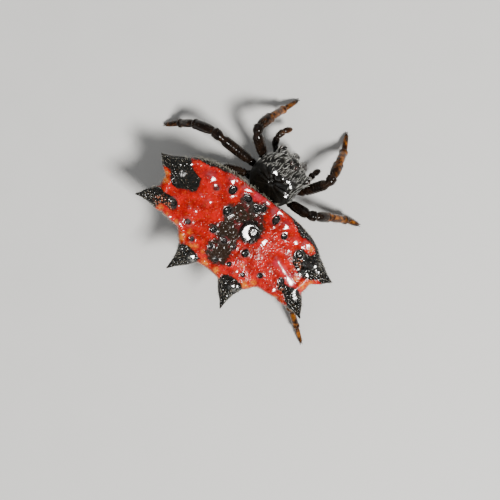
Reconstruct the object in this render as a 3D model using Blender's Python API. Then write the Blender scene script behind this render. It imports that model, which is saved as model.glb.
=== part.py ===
# Spiny orb weaver, adult female, life size, standing still on its eight feet.
# Metres, +Z up. The head faces -Y, the animal's left side is +X, the feet stand at z = 0,
# and the origin is the middle of the bounding box's bottom.
# Sizes are written in millimetres, from the middle of the abdomen's outline in plan.

import math

import bmesh
import bpy
import numpy as np
from mathutils import Vector

mm = 0.001
gap = 0.3                      # kept between neighbouring pieces

# Abdomen: a flat shield with six spines, wider than long.
shield_height = 4.1            # of the marginal ridge's inner foot above the floor
shield_dome = 0.42             # rise of the shield's middle above that
ridge_rise = 0.05
rim_height = 3.75              # of the widest line
ring_centre_y = -0.3
belly_height = 1.8             # of the belly's lowest point
belly_shift = 0.9              # of that point toward the rear
# The belly, rim to middle: share of the outline, height.
belly_section = ((0.985, 3.5), (0.95, 3.3), (0.88, 3.1), (0.78, 2.9), (0.66, 2.7), (0.54, 2.5),
                 (0.42, 2.27), (0.3, 2.05), (0.16, 1.87))
abdomen_sides = 76

# Half of the shield's outline without its spines, front to rear: x, y.
shield_outline = (
    (0.0, -2.95), (1.0, -2.95), (2.0, -2.96), (3.05, -2.83), (4.0, -2.56), (4.6, -2.18),
    (4.98, -1.55), (5.1, -0.9), (5.12, -0.3), (4.98, 0.3), (4.6, 0.95), (3.9, 1.3),
    (2.95, 1.4), (2.48, 1.82), (1.9, 2.3), (1.2, 2.4), (0.5, 2.31), (0.0, 2.28),
)

# Spines of one side: centre line (x, y, z) and radius from root to tip.
spines = {
    "anterior": (((3.5, -1.2, 3.55), 0.5), ((4.1, -1.2, 3.66), 0.75), ((4.7, -1.2, 3.74), 0.86),
                 ((5.1, -1.21, 3.8), 0.68), ((5.45, -1.24, 3.86), 0.46),
                 ((5.75, -1.3, 3.94), 0.22), ((6.0, -1.36, 4.02), 0.03)),
    "lateral": (((3.2, 0.2, 3.5), 0.5), ((3.85, 0.42, 3.62), 0.68), ((4.5, 0.62, 3.7), 0.76),
                ((4.95, 0.8, 3.74), 0.56), ((5.32, 1.0, 3.79), 0.34),
                ((5.58, 1.18, 3.84), 0.15), ((5.78, 1.32, 3.89), 0.03)),
    "posterior": (((1.4, 0.9, 3.4), 0.5), ((1.44, 1.55, 3.56), 0.72), ((1.47, 2.15, 3.66), 0.76),
                  ((1.55, 2.6, 3.69), 0.54), ((1.66, 2.95, 3.73), 0.34),
                  ((1.77, 3.25, 3.77), 0.18), ((1.87, 3.56, 3.82), 0.03)),
}
spine_flatness = 0.62          # height of a spine's cross-section as a share of its width
spine_sides = 12

# Pits of one side of the shield: x, y, pit's half width and half length, its collar's rise.
pits = (
    (0.48, -2.23, 0.17, 0.21, 0.09), (1.48, -2.2, 0.18, 0.24, 0.09), (2.36, -1.74, 0.16, 0.19, 0.09),
    (3.56, -1.4, 0.24, 0.22, 0.1), (0.88, -1.0, 0.28, 0.29, 0.17), (1.12, 0.31, 0.19, 0.19, 0.11),
    (0.36, 0.42, 0.11, 0.12, 0.06), (0.72, 1.27, 0.13, 0.13, 0.07), (1.77, 1.4, 0.14, 0.13, 0.08),
    (2.55, 0.82, 0.15, 0.15, 0.08), (3.72, 0.46, 0.2, 0.19, 0.09),
)
pit_sides = 10
# Cross-section of a collar, outside to middle: share of the pit's size, share of the rise.
collar_section = ((1.9, -1.6), (1.5, 0.45), (1.15, 1.0), (0.75, 0.4), (0.35, 0.12))
collar_depth = 0.3

spinneret_place = (0.0, 0.75)
spinneret_line = ((2.4, 0.95), (2.05, 0.72), (1.7, 0.5), (1.4, 0.42), (1.2, 0.3))

# Prosoma: its own plan, a forward and b to the left of its middle.
prosoma_place = (0.0, -4.14)
head_turn = math.radians(16)   # toward the animal's right
carapace_outline = (
    (0.0, 1.58), (0.55, 1.58), (0.95, 1.52), (1.22, 1.3), (1.32, 0.95), (1.42, 0.45),
    (1.5, -0.05), (1.44, -0.55), (1.18, -1.02), (0.7, -1.36), (0.0, -1.48),
)
sternum_outline = (
    (0.0, 0.78), (0.42, 0.72), (0.64, 0.45), (0.7, 0.0), (0.66, -0.5), (0.5, -0.95),
    (0.25, -1.15), (0.0, -1.2),
)
carapace_edge = 2.42           # height of the carapace's widest line
sternum_height = 1.5
# Height of the carapace's crest along the body: a, z.
crest_line = ((-1.48, 2.6), (-0.9, 2.78), (-0.2, 3.12), (0.5, 3.32), (1.1, 3.35), (1.6, 3.2))
prosoma_sides = 44
pedicel_line = ((-1.1, 0.0, 2.25), (-1.6, -0.1, 2.36), (-2.1, -0.22, 2.6), (-2.4, -0.28, 2.9))
pedicel_radius = 0.25

# Eyes of one side: a, b, z and radius of the bump, then the two swellings that carry them.
eyes = ((1.49, 0.17, 3.02, 0.1), (1.28, 0.17, 3.24, 0.1),
        (1.5, 1.14, 2.83, 0.09), (1.34, 1.27, 2.87, 0.09))
median_swelling = ((1.28, 0.0, 3.03), (0.28, 0.38, 0.26))
lateral_swelling = ((1.32, 1.1, 2.76), (0.27, 0.27, 0.24))

# Chelicera: centre line (a, b, z) and radius, then its fang.
chelicera_line = (
    ((1.45, 0.35, 2.3), 0.2), ((1.55, 0.36, 2.05), 0.26), ((1.64, 0.37, 1.75), 0.29),
    ((1.66, 0.37, 1.4), 0.28), ((1.6, 0.36, 1.12), 0.24), ((1.52, 0.34, 0.94), 0.14),
)
fang_line = (
    ((1.55, 0.34, 1.12), 0.13), ((1.52, 0.3, 0.86), 0.1), ((1.42, 0.24, 0.72), 0.07),
    ((1.3, 0.2, 0.74), 0.03),
)

# Coxae start on the sternum: a, b of legs 1 to 4, all at one height.
coxa_places = ((0.42, 0.6), (-0.17, 0.62), (-0.72, 0.55), (-1.1, 0.3))
coxa_height = 1.72
coxa_end = 1.46                # distance of the trochanters from the body's axis, in plan

# Joints of each leg beyond the trochanter: knee, patella's end, tibia's end,
# metatarsus's end and foot, as x, y, z. The first value swings the coxa (degrees).
leg_joints = {
    "left_1": (-14, (2.47, -5.58, 3.1), (2.6, -6.03, 3.0), (2.41, -6.85, 2.2),
               (2.1, -7.83, 0.75), (1.81, -8.7, 0.0)),
    "left_2": (-16, (3.94, -4.14, 2.8), (4.54, -4.2, 2.75), (5.78, -3.89, 1.7),
               (6.55, -3.4, 0.6), (7.15, -2.89, 0.0)),
    "left_3": (-26, (2.88, -2.8, 2.25), (3.36, -2.48, 2.15), (4.15, -1.8, 1.2),
               (4.5, -1.4, 0.45), (4.72, -1.0, 0.0)),
    "left_4": (-58, (3.3, -0.75, 2.0), (3.55, -0.05, 1.95), (3.15, 1.1, 1.15),
               (2.35, 1.6, 0.42), (1.75, 2.1, 0.0)),
    "right_1": (16, (-2.54, -5.77, 2.75), (-2.52, -6.26, 2.7), (-2.34, -7.07, 1.95),
                (-2.14, -7.96, 0.75), (-1.66, -8.87, 0.0)),
    "right_2": (-2, (-2.7, -3.64, 2.9), (-3.15, -3.84, 2.85), (-3.72, -4.26, 2.0),
                (-4.75, -4.85, 0.6), (-5.44, -5.04, 0.0)),
    "right_3": (-26, (-2.55, -2.66, 2.2), (-3.05, -2.46, 2.1), (-3.9, -2.05, 1.2),
                (-4.3, -1.8, 0.45), (-4.6, -1.5, 0.0)),
    "right_4": (-62, (-3.35, -0.55, 2.0), (-3.95, -0.05, 1.95), (-5.35, 1.37, 1.25),
                (-6.2, 1.96, 0.45), (-6.92, 2.5, 0.0)),
}
# Radius along a leg: joint number and share of the way to the next one, then millimetres.
leg_section = (
    (0.0, 0.24), (0.6, 0.25), (0.92, 0.22), (1.04, 0.21), (1.14, 0.26), (1.35, 0.3), (1.6, 0.31),
    (1.85, 0.29), (1.97, 0.25), (2.2, 0.28), (2.6, 0.3), (2.95, 0.26), (3.15, 0.29),
    (3.5, 0.31), (3.8, 0.29), (3.97, 0.24), (4.2, 0.27), (4.6, 0.26), (4.9, 0.24),
    (5.03, 0.2), (5.3, 0.21), (5.7, 0.18), (6.0, 0.16), (7.0, 0.15),
)
foot_depth = 0.25              # of the tarsus's line below the floor, where it is cut flat
leg_sides = 10

# Palps: joints (x, y, z) beyond the sternum, and radius along them.
palp_root = (0.78, 0.45, 1.55)
palp_joints = {
    "left": ((1.3, -5.77, 1.45), (1.45, -6.22, 1.6), (1.34, -6.7, 1.5), (1.02, -7.12, 1.2)),
    "right": ((-1.32, -5.12, 1.38), (-1.5, -5.36, 1.5), (-1.55, -5.75, 1.5), (-1.7, -6.18, 1.25)),
}
palp_section = (
    (0.0, 0.22), (0.8, 0.22), (1.0, 0.2), (1.3, 0.24), (1.9, 0.22), (2.1, 0.23), (2.8, 0.23),
    (3.0, 0.21), (3.3, 0.23), (3.6, 0.2), (3.85, 0.13), (4.0, 0.05),
)

materials = {                  # colour, roughness
    "abdomen": ((0.55, 0.02, 0.01), 0.35),
    "prosoma": ((0.012, 0.011, 0.01), 0.4),
    "chelicera": ((0.02, 0.015, 0.012), 0.3),
    "palp": ((0.06, 0.035, 0.02), 0.35),
    "leg": ((0.045, 0.026, 0.014), 0.3),
}


def clear_scene():
    for obj in list(bpy.data.objects):
        bpy.data.objects.remove(obj, do_unlink=True)


def smooth_through(places, values, at):
    # Cubic through the values, with the mean slope of the neighbours, level at both ends.
    places, values, at = (np.asarray(v, float) for v in (places, values, at))
    slope = np.gradient(values, places)
    slope[0] = slope[-1] = 0.0
    i = np.clip(np.searchsorted(places, at) - 1, 0, len(places) - 2)
    step = places[i + 1] - places[i]
    t = (at - places[i]) / step
    rise = values[i] * (1 + 2 * t) * (1 - t) ** 2 + values[i + 1] * t * t * (3 - 2 * t)
    return rise + step * (slope[i] * t * (1 - t) ** 2 - slope[i + 1] * t * t * (1 - t))


def outline_radius(half_outline, across, along):
    # Distance of a mirrored outline from its middle, in the direction (across, along).
    points = np.array(half_outline)
    turn = np.arctan2(points[:, 0], points[:, 1])
    order = np.argsort(turn)
    reach = np.hypot(points[:, 0], points[:, 1])
    return smooth_through(turn[order], reach[order], np.arctan2(np.abs(across), along))


def circle(sides):
    turn = np.arange(sides) * 2 * math.pi / sides
    return np.cos(turn), np.sin(turn)


def closed_mesh(name, rings, first_pole, last_pole):
    # Rings of equal count joined in quads, closed by a fan of triangles at each end.
    rings = np.asarray(rings, float)
    count, sides = rings.shape[:2]
    bm = bmesh.new()
    verts = [[bm.verts.new(p * mm) for p in ring] for ring in rings]
    poles = [bm.verts.new(np.asarray(p, float) * mm) for p in (first_pole, last_pole)]
    for k in range(sides):
        n = (k + 1) % sides
        bm.faces.new((poles[0], verts[0][n], verts[0][k]))
        bm.faces.new((poles[1], verts[-1][k], verts[-1][n]))
        for j in range(count - 1):
            bm.faces.new((verts[j][k], verts[j][n], verts[j + 1][n], verts[j + 1][k]))
    bmesh.ops.recalc_face_normals(bm, faces=bm.faces)
    mesh = bpy.data.meshes.new(name)
    bm.to_mesh(mesh)
    bm.free()
    obj = bpy.data.objects.new(name, mesh)
    bpy.context.scene.collection.objects.link(obj)
    return obj


def tube(name, line, radii, sides, flatness=1.0):
    # Rings square to a line, turned with it so that they don't twist.
    line = np.asarray(line, float)
    along = np.gradient(line, axis=0)
    along /= np.linalg.norm(along, axis=1)[:, None]
    up = Vector((0, 0, 1)) if abs(along[0][2]) < 0.9 else Vector((0, 1, 0))
    cos, sin = circle(sides)
    rings = []
    for point, way, radius in zip(line, along, radii):
        side = Vector(way).cross(up).normalized()
        up = side.cross(Vector(way)).normalized()
        rings.append(point + radius * (np.outer(cos, side) + flatness * np.outer(sin, up)))
    return closed_mesh(name, rings, line[0], line[-1])


def ball(name, place, size, divisions=1):
    bm = bmesh.new()
    bmesh.ops.create_icosphere(bm, subdivisions=divisions + 1, radius=1.0)
    for vert in bm.verts:
        vert.co = Vector(place) * mm + Vector([c * s * mm for c, s in zip(vert.co, size)])
    mesh = bpy.data.meshes.new(name)
    bm.to_mesh(mesh)
    bm.free()
    obj = bpy.data.objects.new(name, mesh)
    bpy.context.scene.collection.objects.link(obj)
    return obj


def apply_boolean(obj, others, operation):
    # One Boolean on a collection of closed meshes, which then go.
    group = bpy.data.collections.new("operands")
    bpy.context.scene.collection.children.link(group)
    for other in others:
        group.objects.link(other)
        bpy.context.scene.collection.objects.unlink(other)
    boolean = obj.modifiers.new("boolean", "BOOLEAN")
    boolean.operand_type = "COLLECTION"
    boolean.collection = group
    boolean.operation = operation
    boolean.solver = "EXACT"
    shaped = obj.evaluated_get(bpy.context.evaluated_depsgraph_get())
    mesh = bpy.data.meshes.new_from_object(shaped)
    obj.modifiers.clear()
    obj.data = mesh
    for other in others:
        bpy.data.objects.remove(other, do_unlink=True)
    bpy.data.collections.remove(group)
    keep_largest(mesh)


def keep_largest(mesh):
    # Only the closed surface with the most volume stays.
    bm = bmesh.new()
    bm.from_mesh(mesh)
    bmesh.ops.triangulate(bm, faces=bm.faces)
    seen, shells = set(), []
    for start in bm.verts:
        if start in seen:
            continue
        shell, heap = [], [start]
        seen.add(start)
        while heap:
            vert = heap.pop()
            shell.append(vert)
            for edge in vert.link_edges:
                other = edge.other_vert(vert)
                if other not in seen:
                    seen.add(other)
                    heap.append(other)
        shells.append(shell)

    def volume(shell):
        faces = {face for vert in shell for face in vert.link_faces}
        return abs(sum(f.verts[0].co.cross(f.verts[1].co).dot(f.verts[2].co) for f in faces))

    shells.sort(key=volume)
    loose = [vert for shell in shells[:-1] for vert in shell]
    bmesh.ops.delete(bm, geom=loose, context="VERTS")
    bm.to_mesh(mesh)
    bm.free()


def shield_z(share):
    # Height of the shield's face at a share of the outline: an arch that ends at the ridge.
    return shield_height + shield_dome * (1 - (np.minimum(share, 0.9) / 0.9) ** 2)


def abdomen_body(grow=0.0):
    # Rings from the shield's middle over the ridge and the rim to the belly's lowest point.
    levels = [(s, shield_z(s), 0.0) for s in np.linspace(0.12, 0.88, 8)]
    levels += [(0.925, shield_height + ridge_rise, 0.0), (0.96, shield_height, 0.0),
               (0.985, 0.5 * (shield_height + rim_height), 0.0), (1.0, rim_height, 0.0)]
    levels += [(share, height, (1 - share) ** 1.25) for share, height in belly_section]
    cos, sin = circle(abdomen_sides)
    outline = np.array(shield_outline) * (1, -1) + (0, ring_centre_y)
    reach = outline_radius(outline, cos, -sin)
    rings = []
    for j, (share, height, fall) in enumerate(levels):
        lift = grow if j < 10 else (0.0 if j < 12 else -grow)
        radius = reach * share + grow
        y = ring_centre_y + radius * sin + fall * belly_shift
        rings.append(np.stack([radius * cos, y, np.full(abdomen_sides, height + lift)], axis=1))
    top = (0, ring_centre_y, shield_z(0) + grow)
    bottom = (0, ring_centre_y + belly_shift, belly_height - grow)
    return closed_mesh("abdomen", rings, top, bottom)


def collar(x, y, half_width, half_length, rise):
    # A pit's low collar, closed below and sunk in the shield.
    outline = np.array(shield_outline) * (1, -1) + (0, ring_centre_y)
    away = np.hypot(x, y - ring_centre_y)
    height = shield_z(away / outline_radius(outline, x, ring_centre_y - y))
    cos, sin = circle(pit_sides)
    rings = []
    for share, lift in collar_section:
        place = np.stack([x + share * half_width * cos, y + share * half_length * sin], axis=1)
        rings.append(np.column_stack([place, np.full(pit_sides, height + lift * rise)]))
    return closed_mesh("collar", rings, (x, y, height - collar_depth), (x, y, height))


def make_abdomen():
    body = abdomen_body()
    pieces = []
    for side in (1, -1):
        for stations in spines.values():
            line = [(side * x, y, z) for (x, y, z), _ in stations]
            pieces.append(tube("spine", line, [r for _, r in stations], spine_sides, spine_flatness))
        pieces += [collar(side * x, *rest) for x, *rest in pits]
    place = [(*spinneret_place, z) for z, _ in spinneret_line]
    pieces.append(tube("spinnerets", place, [r for _, r in spinneret_line], spine_sides))
    apply_boolean(body, pieces, "UNION")
    return body


def from_prosoma(a, b, z):
    # Place on the prosoma, forward and to its left, in the animal's own plan.
    x = prosoma_place[0] - a * math.sin(head_turn) + b * math.cos(head_turn)
    y = prosoma_place[1] - a * math.cos(head_turn) - b * math.sin(head_turn)
    return (x, y, z)


def prosoma_body(grow=0.0):
    # Carapace over a narrower sternum: rings from the crest round the edge to below.
    cos, sin = circle(prosoma_sides)
    wide = outline_radius(carapace_outline, cos, sin)
    narrow = outline_radius(sternum_outline, cos, sin)
    crest = np.array(crest_line)
    rings = []
    for share in (0.15, 0.35, 0.55, 0.72, 0.85, 0.94, 0.985):
        forward = wide * share * sin
        top = smooth_through(crest[:, 0], crest[:, 1], forward)
        height = carapace_edge + (top - carapace_edge) * (1 - share ** 3.2) ** 0.75
        rings.append((wide * share + grow, height + grow * (1 - share ** 6)))
    rings.append((wide + grow, np.full(prosoma_sides, carapace_edge)))
    under = carapace_edge - 0.1 - grow
    rings.append((wide * 0.95 + grow, np.full(prosoma_sides, under)))
    rings.append((narrow * 1.12 + grow, np.full(prosoma_sides, under)))
    for share, height in ((1.0, 2.1), (0.98, 1.72), (0.8, 1.55)):
        low = height - (grow if height < 1.7 else 0)
        rings.append((narrow * share + grow, np.full(prosoma_sides, low)))
    rings = [[from_prosoma(r * s, r * c, z) for r, c, s, z in zip(radius, cos, sin, height)]
             for radius, height in rings]
    middle = float(smooth_through(crest[:, 0], crest[:, 1], 0.0))
    top = from_prosoma(0, 0, middle + grow)
    return closed_mesh("prosoma", rings, top, from_prosoma(0, 0, sternum_height - grow))


def prosoma_swellings(grow=0.0):
    # The swellings that carry the eyes, and the pedicel.
    (a, b, z), size = lateral_swelling
    places = [median_swelling, ((a, b, z), size), ((a, -b, z), size)]
    pieces = [ball("swelling", from_prosoma(*p), [c + grow for c in s]) for p, s in places]
    line = [from_prosoma(*p) for p in pedicel_line]
    radii = [pedicel_radius + grow] * len(line)
    return pieces, tube("pedicel", line, radii, leg_sides)


def make_prosoma():
    body = prosoma_body()
    pieces, pedicel = prosoma_swellings()
    for side in (1, -1):
        for a, b, z, radius in eyes:
            pieces.append(ball("eye", from_prosoma(a, side * b, z), [radius] * 3))
    apply_boolean(pedicel, [abdomen_body(gap)], "DIFFERENCE")
    apply_boolean(body, [*pieces, pedicel], "UNION")
    return body


def clear_of_prosoma(obj):
    # Cuts a limb's root back until the gap is open all round the prosoma.
    pieces, pedicel = prosoma_swellings(gap)
    for cutter in (prosoma_body(gap), *pieces, pedicel):
        apply_boolean(obj, [cutter], "DIFFERENCE")


def along_joints(joints, section, reach=0.16):
    # Points on a jointed line at the section's stations, its corners rounded by averaging
    # the line over a short reach, and the radius at each.
    joints = np.asarray(joints, float)
    length = np.concatenate([[0], np.cumsum(np.linalg.norm(np.diff(joints, axis=0), axis=1))])
    stations = np.array([s for s, _ in section])
    at = np.interp(stations, np.arange(len(joints)), length)
    line = []
    for place in at:
        half = min(reach, place, length[-1] - place)
        samples = place + half * np.linspace(-1, 1, 9)
        line.append([np.interp(samples, length, joints[:, k]).mean() for k in range(3)])
    return line, [r for _, r in section]


def leg_line(name):
    side, number = (1 if name.startswith("left") else -1), int(name[-1])
    swing, *joints = leg_joints[name]
    a, b = coxa_places[number - 1]
    reach = coxa_end - b
    way = math.radians(swing)
    root = from_prosoma(a, side * b, coxa_height)
    end = from_prosoma(a + reach * math.sin(way), side * (b + reach * math.cos(way)), coxa_height)
    foot, ankle = np.array(joints[-1]), np.array(joints[-2])
    below = foot + (foot - ankle) * foot_depth / (ankle[2] - foot[2])
    return [root, end, *joints, tuple(below)]


def cut_at_floor(mesh):
    bm = bmesh.new()
    bm.from_mesh(mesh)
    everything = list(bm.verts) + list(bm.edges) + list(bm.faces)
    cut = bmesh.ops.bisect_plane(bm, geom=everything, dist=1e-7, plane_co=(0, 0, 0),
                                 plane_no=(0, 0, -1), clear_outer=True)
    edges = [g for g in cut["geom_cut"] if isinstance(g, bmesh.types.BMEdge)]
    bmesh.ops.edgeloop_fill(bm, edges=edges)
    bmesh.ops.recalc_face_normals(bm, faces=bm.faces)
    bm.to_mesh(mesh)
    bm.free()


def make_leg(name):
    leg = tube("leg_" + name, *along_joints(leg_line(name), leg_section), leg_sides)
    clear_of_prosoma(leg)
    cut_at_floor(leg.data)
    return leg


def make_palp(name):
    side = 1 if name == "left" else -1
    a, b, z = palp_root
    joints = [from_prosoma(a, side * b, z), *palp_joints[name]]
    palp = tube("palp_" + name, *along_joints(joints, palp_section, 0.12), leg_sides)
    clear_of_prosoma(palp)
    return palp


def make_chelicera(name):
    side = 1 if name == "left" else -1
    parts = []
    for stations in (chelicera_line, fang_line):
        line = [from_prosoma(a, side * b, z) for (a, b, z), _ in stations]
        parts.append(tube("chelicera_" + name, line, [r for _, r in stations], spine_sides))
    base, fang = parts
    clear_of_prosoma(base)
    apply_boolean(base, [fang], "UNION")
    return base


def finish(obj, name, colour, roughness, root, parent):
    # Own material, smooth shading, and the object's origin at its root.
    obj.name = name
    obj.data.name = name
    material = bpy.data.materials.new(name)
    material.use_nodes = True
    shader = material.node_tree.nodes["Principled BSDF"]
    shader.inputs["Base Color"].default_value = (*colour, 1)
    shader.inputs["Roughness"].default_value = roughness
    shader.inputs["Metallic"].default_value = 0.0
    obj.data.materials.clear()
    obj.data.materials.append(material)
    place = Vector(root) * mm
    for vert in obj.data.vertices:
        vert.co -= place
    obj.location = place
    obj.parent = parent
    obj.data.shade_smooth()
    obj.data.set_sharp_from_angle(angle=math.radians(50))
    return obj


def main():
    clear_scene()
    spider = bpy.data.objects.new("spider", None)
    bpy.context.scene.collection.objects.link(spider)
    made = [finish(make_abdomen(), "abdomen", *materials["abdomen"], (0, 0, rim_height), spider)]
    middle = from_prosoma(0, 0, carapace_edge)
    made.append(finish(make_prosoma(), "prosoma", *materials["prosoma"], middle, spider))
    for name in ("left", "right"):
        side = 1 if name == "left" else -1
        a, b, z = chelicera_line[0][0]
        root = from_prosoma(a, side * b, z)
        chelicera = make_chelicera(name)
        made.append(finish(chelicera, "chelicera_" + name, *materials["chelicera"], root, spider))
        root = from_prosoma(palp_root[0], side * palp_root[1], palp_root[2])
        made.append(finish(make_palp(name), "palp_" + name, *materials["palp"], root, spider))
    for name in leg_joints:
        leg = make_leg(name)
        made.append(finish(leg, "leg_" + name, *materials["leg"], leg_line(name)[0], spider))
    # The bounding box's bottom middle goes to the origin.
    corners = np.array([obj.location + v.co for obj in made for v in obj.data.vertices])
    low, high = corners.min(axis=0), corners.max(axis=0)
    spider.location = (-(low[0] + high[0]) / 2, -(low[1] + high[1]) / 2, -low[2])


main()
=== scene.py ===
import math

import bpy
import numpy as np
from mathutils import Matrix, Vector


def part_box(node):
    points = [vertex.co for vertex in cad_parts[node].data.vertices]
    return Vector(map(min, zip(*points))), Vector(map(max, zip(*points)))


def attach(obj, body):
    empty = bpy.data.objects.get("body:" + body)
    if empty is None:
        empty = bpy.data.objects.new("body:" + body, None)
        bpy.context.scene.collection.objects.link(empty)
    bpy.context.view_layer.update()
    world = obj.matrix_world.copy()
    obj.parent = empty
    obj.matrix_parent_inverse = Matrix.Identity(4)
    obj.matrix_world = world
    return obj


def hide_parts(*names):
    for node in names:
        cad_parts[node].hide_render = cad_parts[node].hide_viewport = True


# Spiny orb weaver, adult female, life size. Lengths below are in millimetres, measured from the
# middle of the abdomen's outline: x to the animal's left, y to its rear, z up from the floor.
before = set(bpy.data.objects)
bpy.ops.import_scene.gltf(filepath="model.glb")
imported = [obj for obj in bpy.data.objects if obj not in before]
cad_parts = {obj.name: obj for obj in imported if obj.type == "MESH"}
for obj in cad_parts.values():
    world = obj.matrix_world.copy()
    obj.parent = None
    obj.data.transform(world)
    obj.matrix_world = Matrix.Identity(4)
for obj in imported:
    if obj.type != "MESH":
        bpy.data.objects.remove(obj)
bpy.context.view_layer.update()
mm = 0.001
frontToMiddle = 2.96  # of the abdomen
low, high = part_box("abdomen")
shift = np.array([(low.x + high.x) / 2, low.y + frontToMiddle * mm, 0.0])


# Small tools for shapes

def smoothStep(start, end, value):
    # 0 before the start and 1 past the end, three t squared less two t cubed between them.
    t = np.clip((value - start) / (end - start), 0, 1)
    return t * t * (3 - 2 * t)


def smoothThrough(places, values, at):
    # Cubic through the values, with the mean slope of the neighbours, level at both ends.
    places, values, at = (np.asarray(v, float) for v in (places, values, at))
    slope = np.gradient(values, places)
    slope[0] = slope[-1] = 0.0
    i = np.clip(np.searchsorted(places, at) - 1, 0, len(places) - 2)
    step = places[i + 1] - places[i]
    t = (at - places[i]) / step
    rise = values[i] * (1 + 2 * t) * (1 - t) ** 2 + values[i + 1] * t * t * (3 - 2 * t)
    return rise + step * (slope[i] * t * (1 - t) ** 2 - slope[i + 1] * t * t * (1 - t))


def refined(stations, times):
    # Rows of numbers, with times as many rows, each column a smooth curve through the old ones.
    rows = np.array(stations, float)
    old = np.arange(len(rows))
    new = np.linspace(0, len(rows) - 1, (len(rows) - 1) * times + 1)
    return np.stack([smoothThrough(old, rows[:, k], new) for k in range(rows.shape[1])], axis=1)


def fullTurn(sides):
    # Angles of evenly spaced sides, once round.
    return np.arange(sides) * 2 * math.pi / sides


def outlineReach(halfOutline, across, along):
    # Distance of a mirrored outline from its middle, in the direction (across, along).
    outline = np.array(halfOutline)
    turn = np.arctan2(outline[:, 0], outline[:, 1])
    order = np.argsort(turn)
    reach = np.hypot(outline[:, 0], outline[:, 1])
    return smoothThrough(turn[order], reach[order], np.arctan2(np.abs(across), along))


def latticeValue(cell, seed):
    # One number from 0 to 1 for each whole-number cell, by mixing its bits.
    n = (cell[..., 0] * 73856093) ^ (cell[..., 1] * 19349663) ^ (cell[..., 2] * 83492791) ^ (seed * 7919)
    n = ((n ^ (n >> 13)) & 0xffffffff) * 1274126177 & 0xffffffff
    return ((n ^ (n >> 15)) & 0xffff) / 65535.0


def softNoise(points, height, size, seed):
    # Lattice values blended over each cell, from minus to plus the height.
    place = points / size
    base = np.floor(place).astype(np.int64)
    t = place - base
    t = t * t * (3 - 2 * t)
    total = np.zeros(len(points))
    for corner in np.ndindex(2, 2, 2):
        share = np.prod(np.where(corner, t, 1 - t), axis=1)
        total += share * latticeValue(base + corner, seed)
    return height * (2 * total - 1)


def cellBumps(points, height, size, seed):
    # A round grain in each cell at its own place: its height on top, 0 beyond its reach.
    reach = 0.55
    place = points / size
    base = np.floor(place).astype(np.int64)
    best = np.zeros(len(points))
    for step in np.ndindex(3, 3, 3):
        cell = base + np.array(step) - 1
        middle = cell + np.stack([latticeValue(cell, seed + k) for k in range(3)], axis=1)
        away = np.linalg.norm(place - middle, axis=1)
        best = np.maximum(best, 1 - (away / reach) ** 2)
    return height * np.maximum(best, 0)


def insideDistance(points, corners):
    # Plan distance to a polygon's nearest side, above zero inside it.
    corners = np.array(corners, float)
    nearest = np.full(len(points), 1e9)
    inside = np.zeros(len(points), bool)
    x, y = points[:, 0], points[:, 1]
    for (ax, ay), (bx, by) in zip(corners, np.roll(corners, -1, axis=0)):
        t = np.clip(((x - ax) * (bx - ax) + (y - ay) * (by - ay)) / ((bx - ax) ** 2 + (by - ay) ** 2), 0, 1)
        nearest = np.minimum(nearest, np.hypot(x - ax - t * (bx - ax), y - ay - t * (by - ay)))
        if ay != by:
            inside ^= ((ay > y) != (by > y)) & (x < ax + (y - ay) * (bx - ax) / (by - ay))
    return np.where(inside, nearest, -nearest)


def insideAny(points, polygons):
    # The same for several polygons, the deepest of them.
    return np.max([insideDistance(points, corners) for corners in polygons], axis=0)


def nearDiscs(x, y, discs, outer, inner):
    # 1 within the inner share of a disc's radius, 0 beyond the outer share.
    return np.max([smoothStep(r * outer, r * inner, np.hypot(x - px, y - py)) for px, py, r in discs], axis=0)


def bell(x, y, px, py, radius):
    # e to the power of minus the square of the distance over three quarters of the radius.
    return np.exp(-((x - px) ** 2 + (y - py) ** 2) / (0.75 * radius) ** 2)


def alongSegment(points, start, end):
    # Share of the way along a line where each point is nearest to it, and the distance there.
    start, way = np.array(start, float), np.array(end, float) - np.array(start, float)
    t = np.clip((points - start) @ way / (way @ way), 0, 1)
    return t, np.linalg.norm(points - start - t[:, None] * way, axis=1)


# Facets that send the key light straight up: slope along x and y, doming, raggedness of the edge
glint = {"slopeX": 0.29, "slopeY": -0.03, "doming": 0.3, "ragged": 0.28}


def turnedSpots(x, y, z, upper, spots):
    # Small, slightly domed facets turned to the key light: how far each point rises, and its gloss.
    rise, gloss = np.zeros((2, len(x)))
    for px, py, radius in spots:
        away = np.hypot(x - px, y - py)
        level = z[np.argmin(away + 9 * (1 - upper))]  # of the upper side, never the belly
        facet = level + glint["slopeX"] * (x - px) + glint["slopeY"] * (y - py) - glint["doming"] * away ** 2
        away *= 1 + glint["ragged"] * np.sin(3 * np.arctan2(y - py, x - px) + 9 * px)
        rise += smoothStep(1.7 * radius, 0.9 * radius, away) * (facet - z)
        gloss = np.maximum(gloss, smoothStep(1.5 * radius, 1.1 * radius, away))
    return rise, gloss


# Surfaces: a shell is its points, quads and triangles

def gridQuads(rows, sides):
    # Corners of the quads between rings that follow one another.
    r, c = np.meshgrid(np.arange(rows - 1), np.arange(sides), indexing="ij")
    n = (c + 1) % sides
    quads = np.stack([r * sides + c, r * sides + n, (r + 1) * sides + n, (r + 1) * sides + c], axis=-1)
    return quads.reshape(-1, 4)


def shellFromRings(rings):
    # Rings of equal count joined in quads, closed by a fan at each end, faces outward.
    rings = np.asarray(rings, float)
    rows, sides = rings.shape[:2]
    end = (rows - 1) * sides
    c = np.arange(sides)
    n = (c + 1) % sides
    first = np.stack([np.full(sides, rows * sides), n, c], axis=1)
    last = np.stack([np.full(sides, rows * sides + 1), end + c, end + n], axis=1)
    points = np.concatenate([rings.reshape(-1, 3), rings[:1].mean(axis=1), rings[-1:].mean(axis=1)])
    return outward((points, gridQuads(rows, sides), np.concatenate([first, last])))


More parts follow.
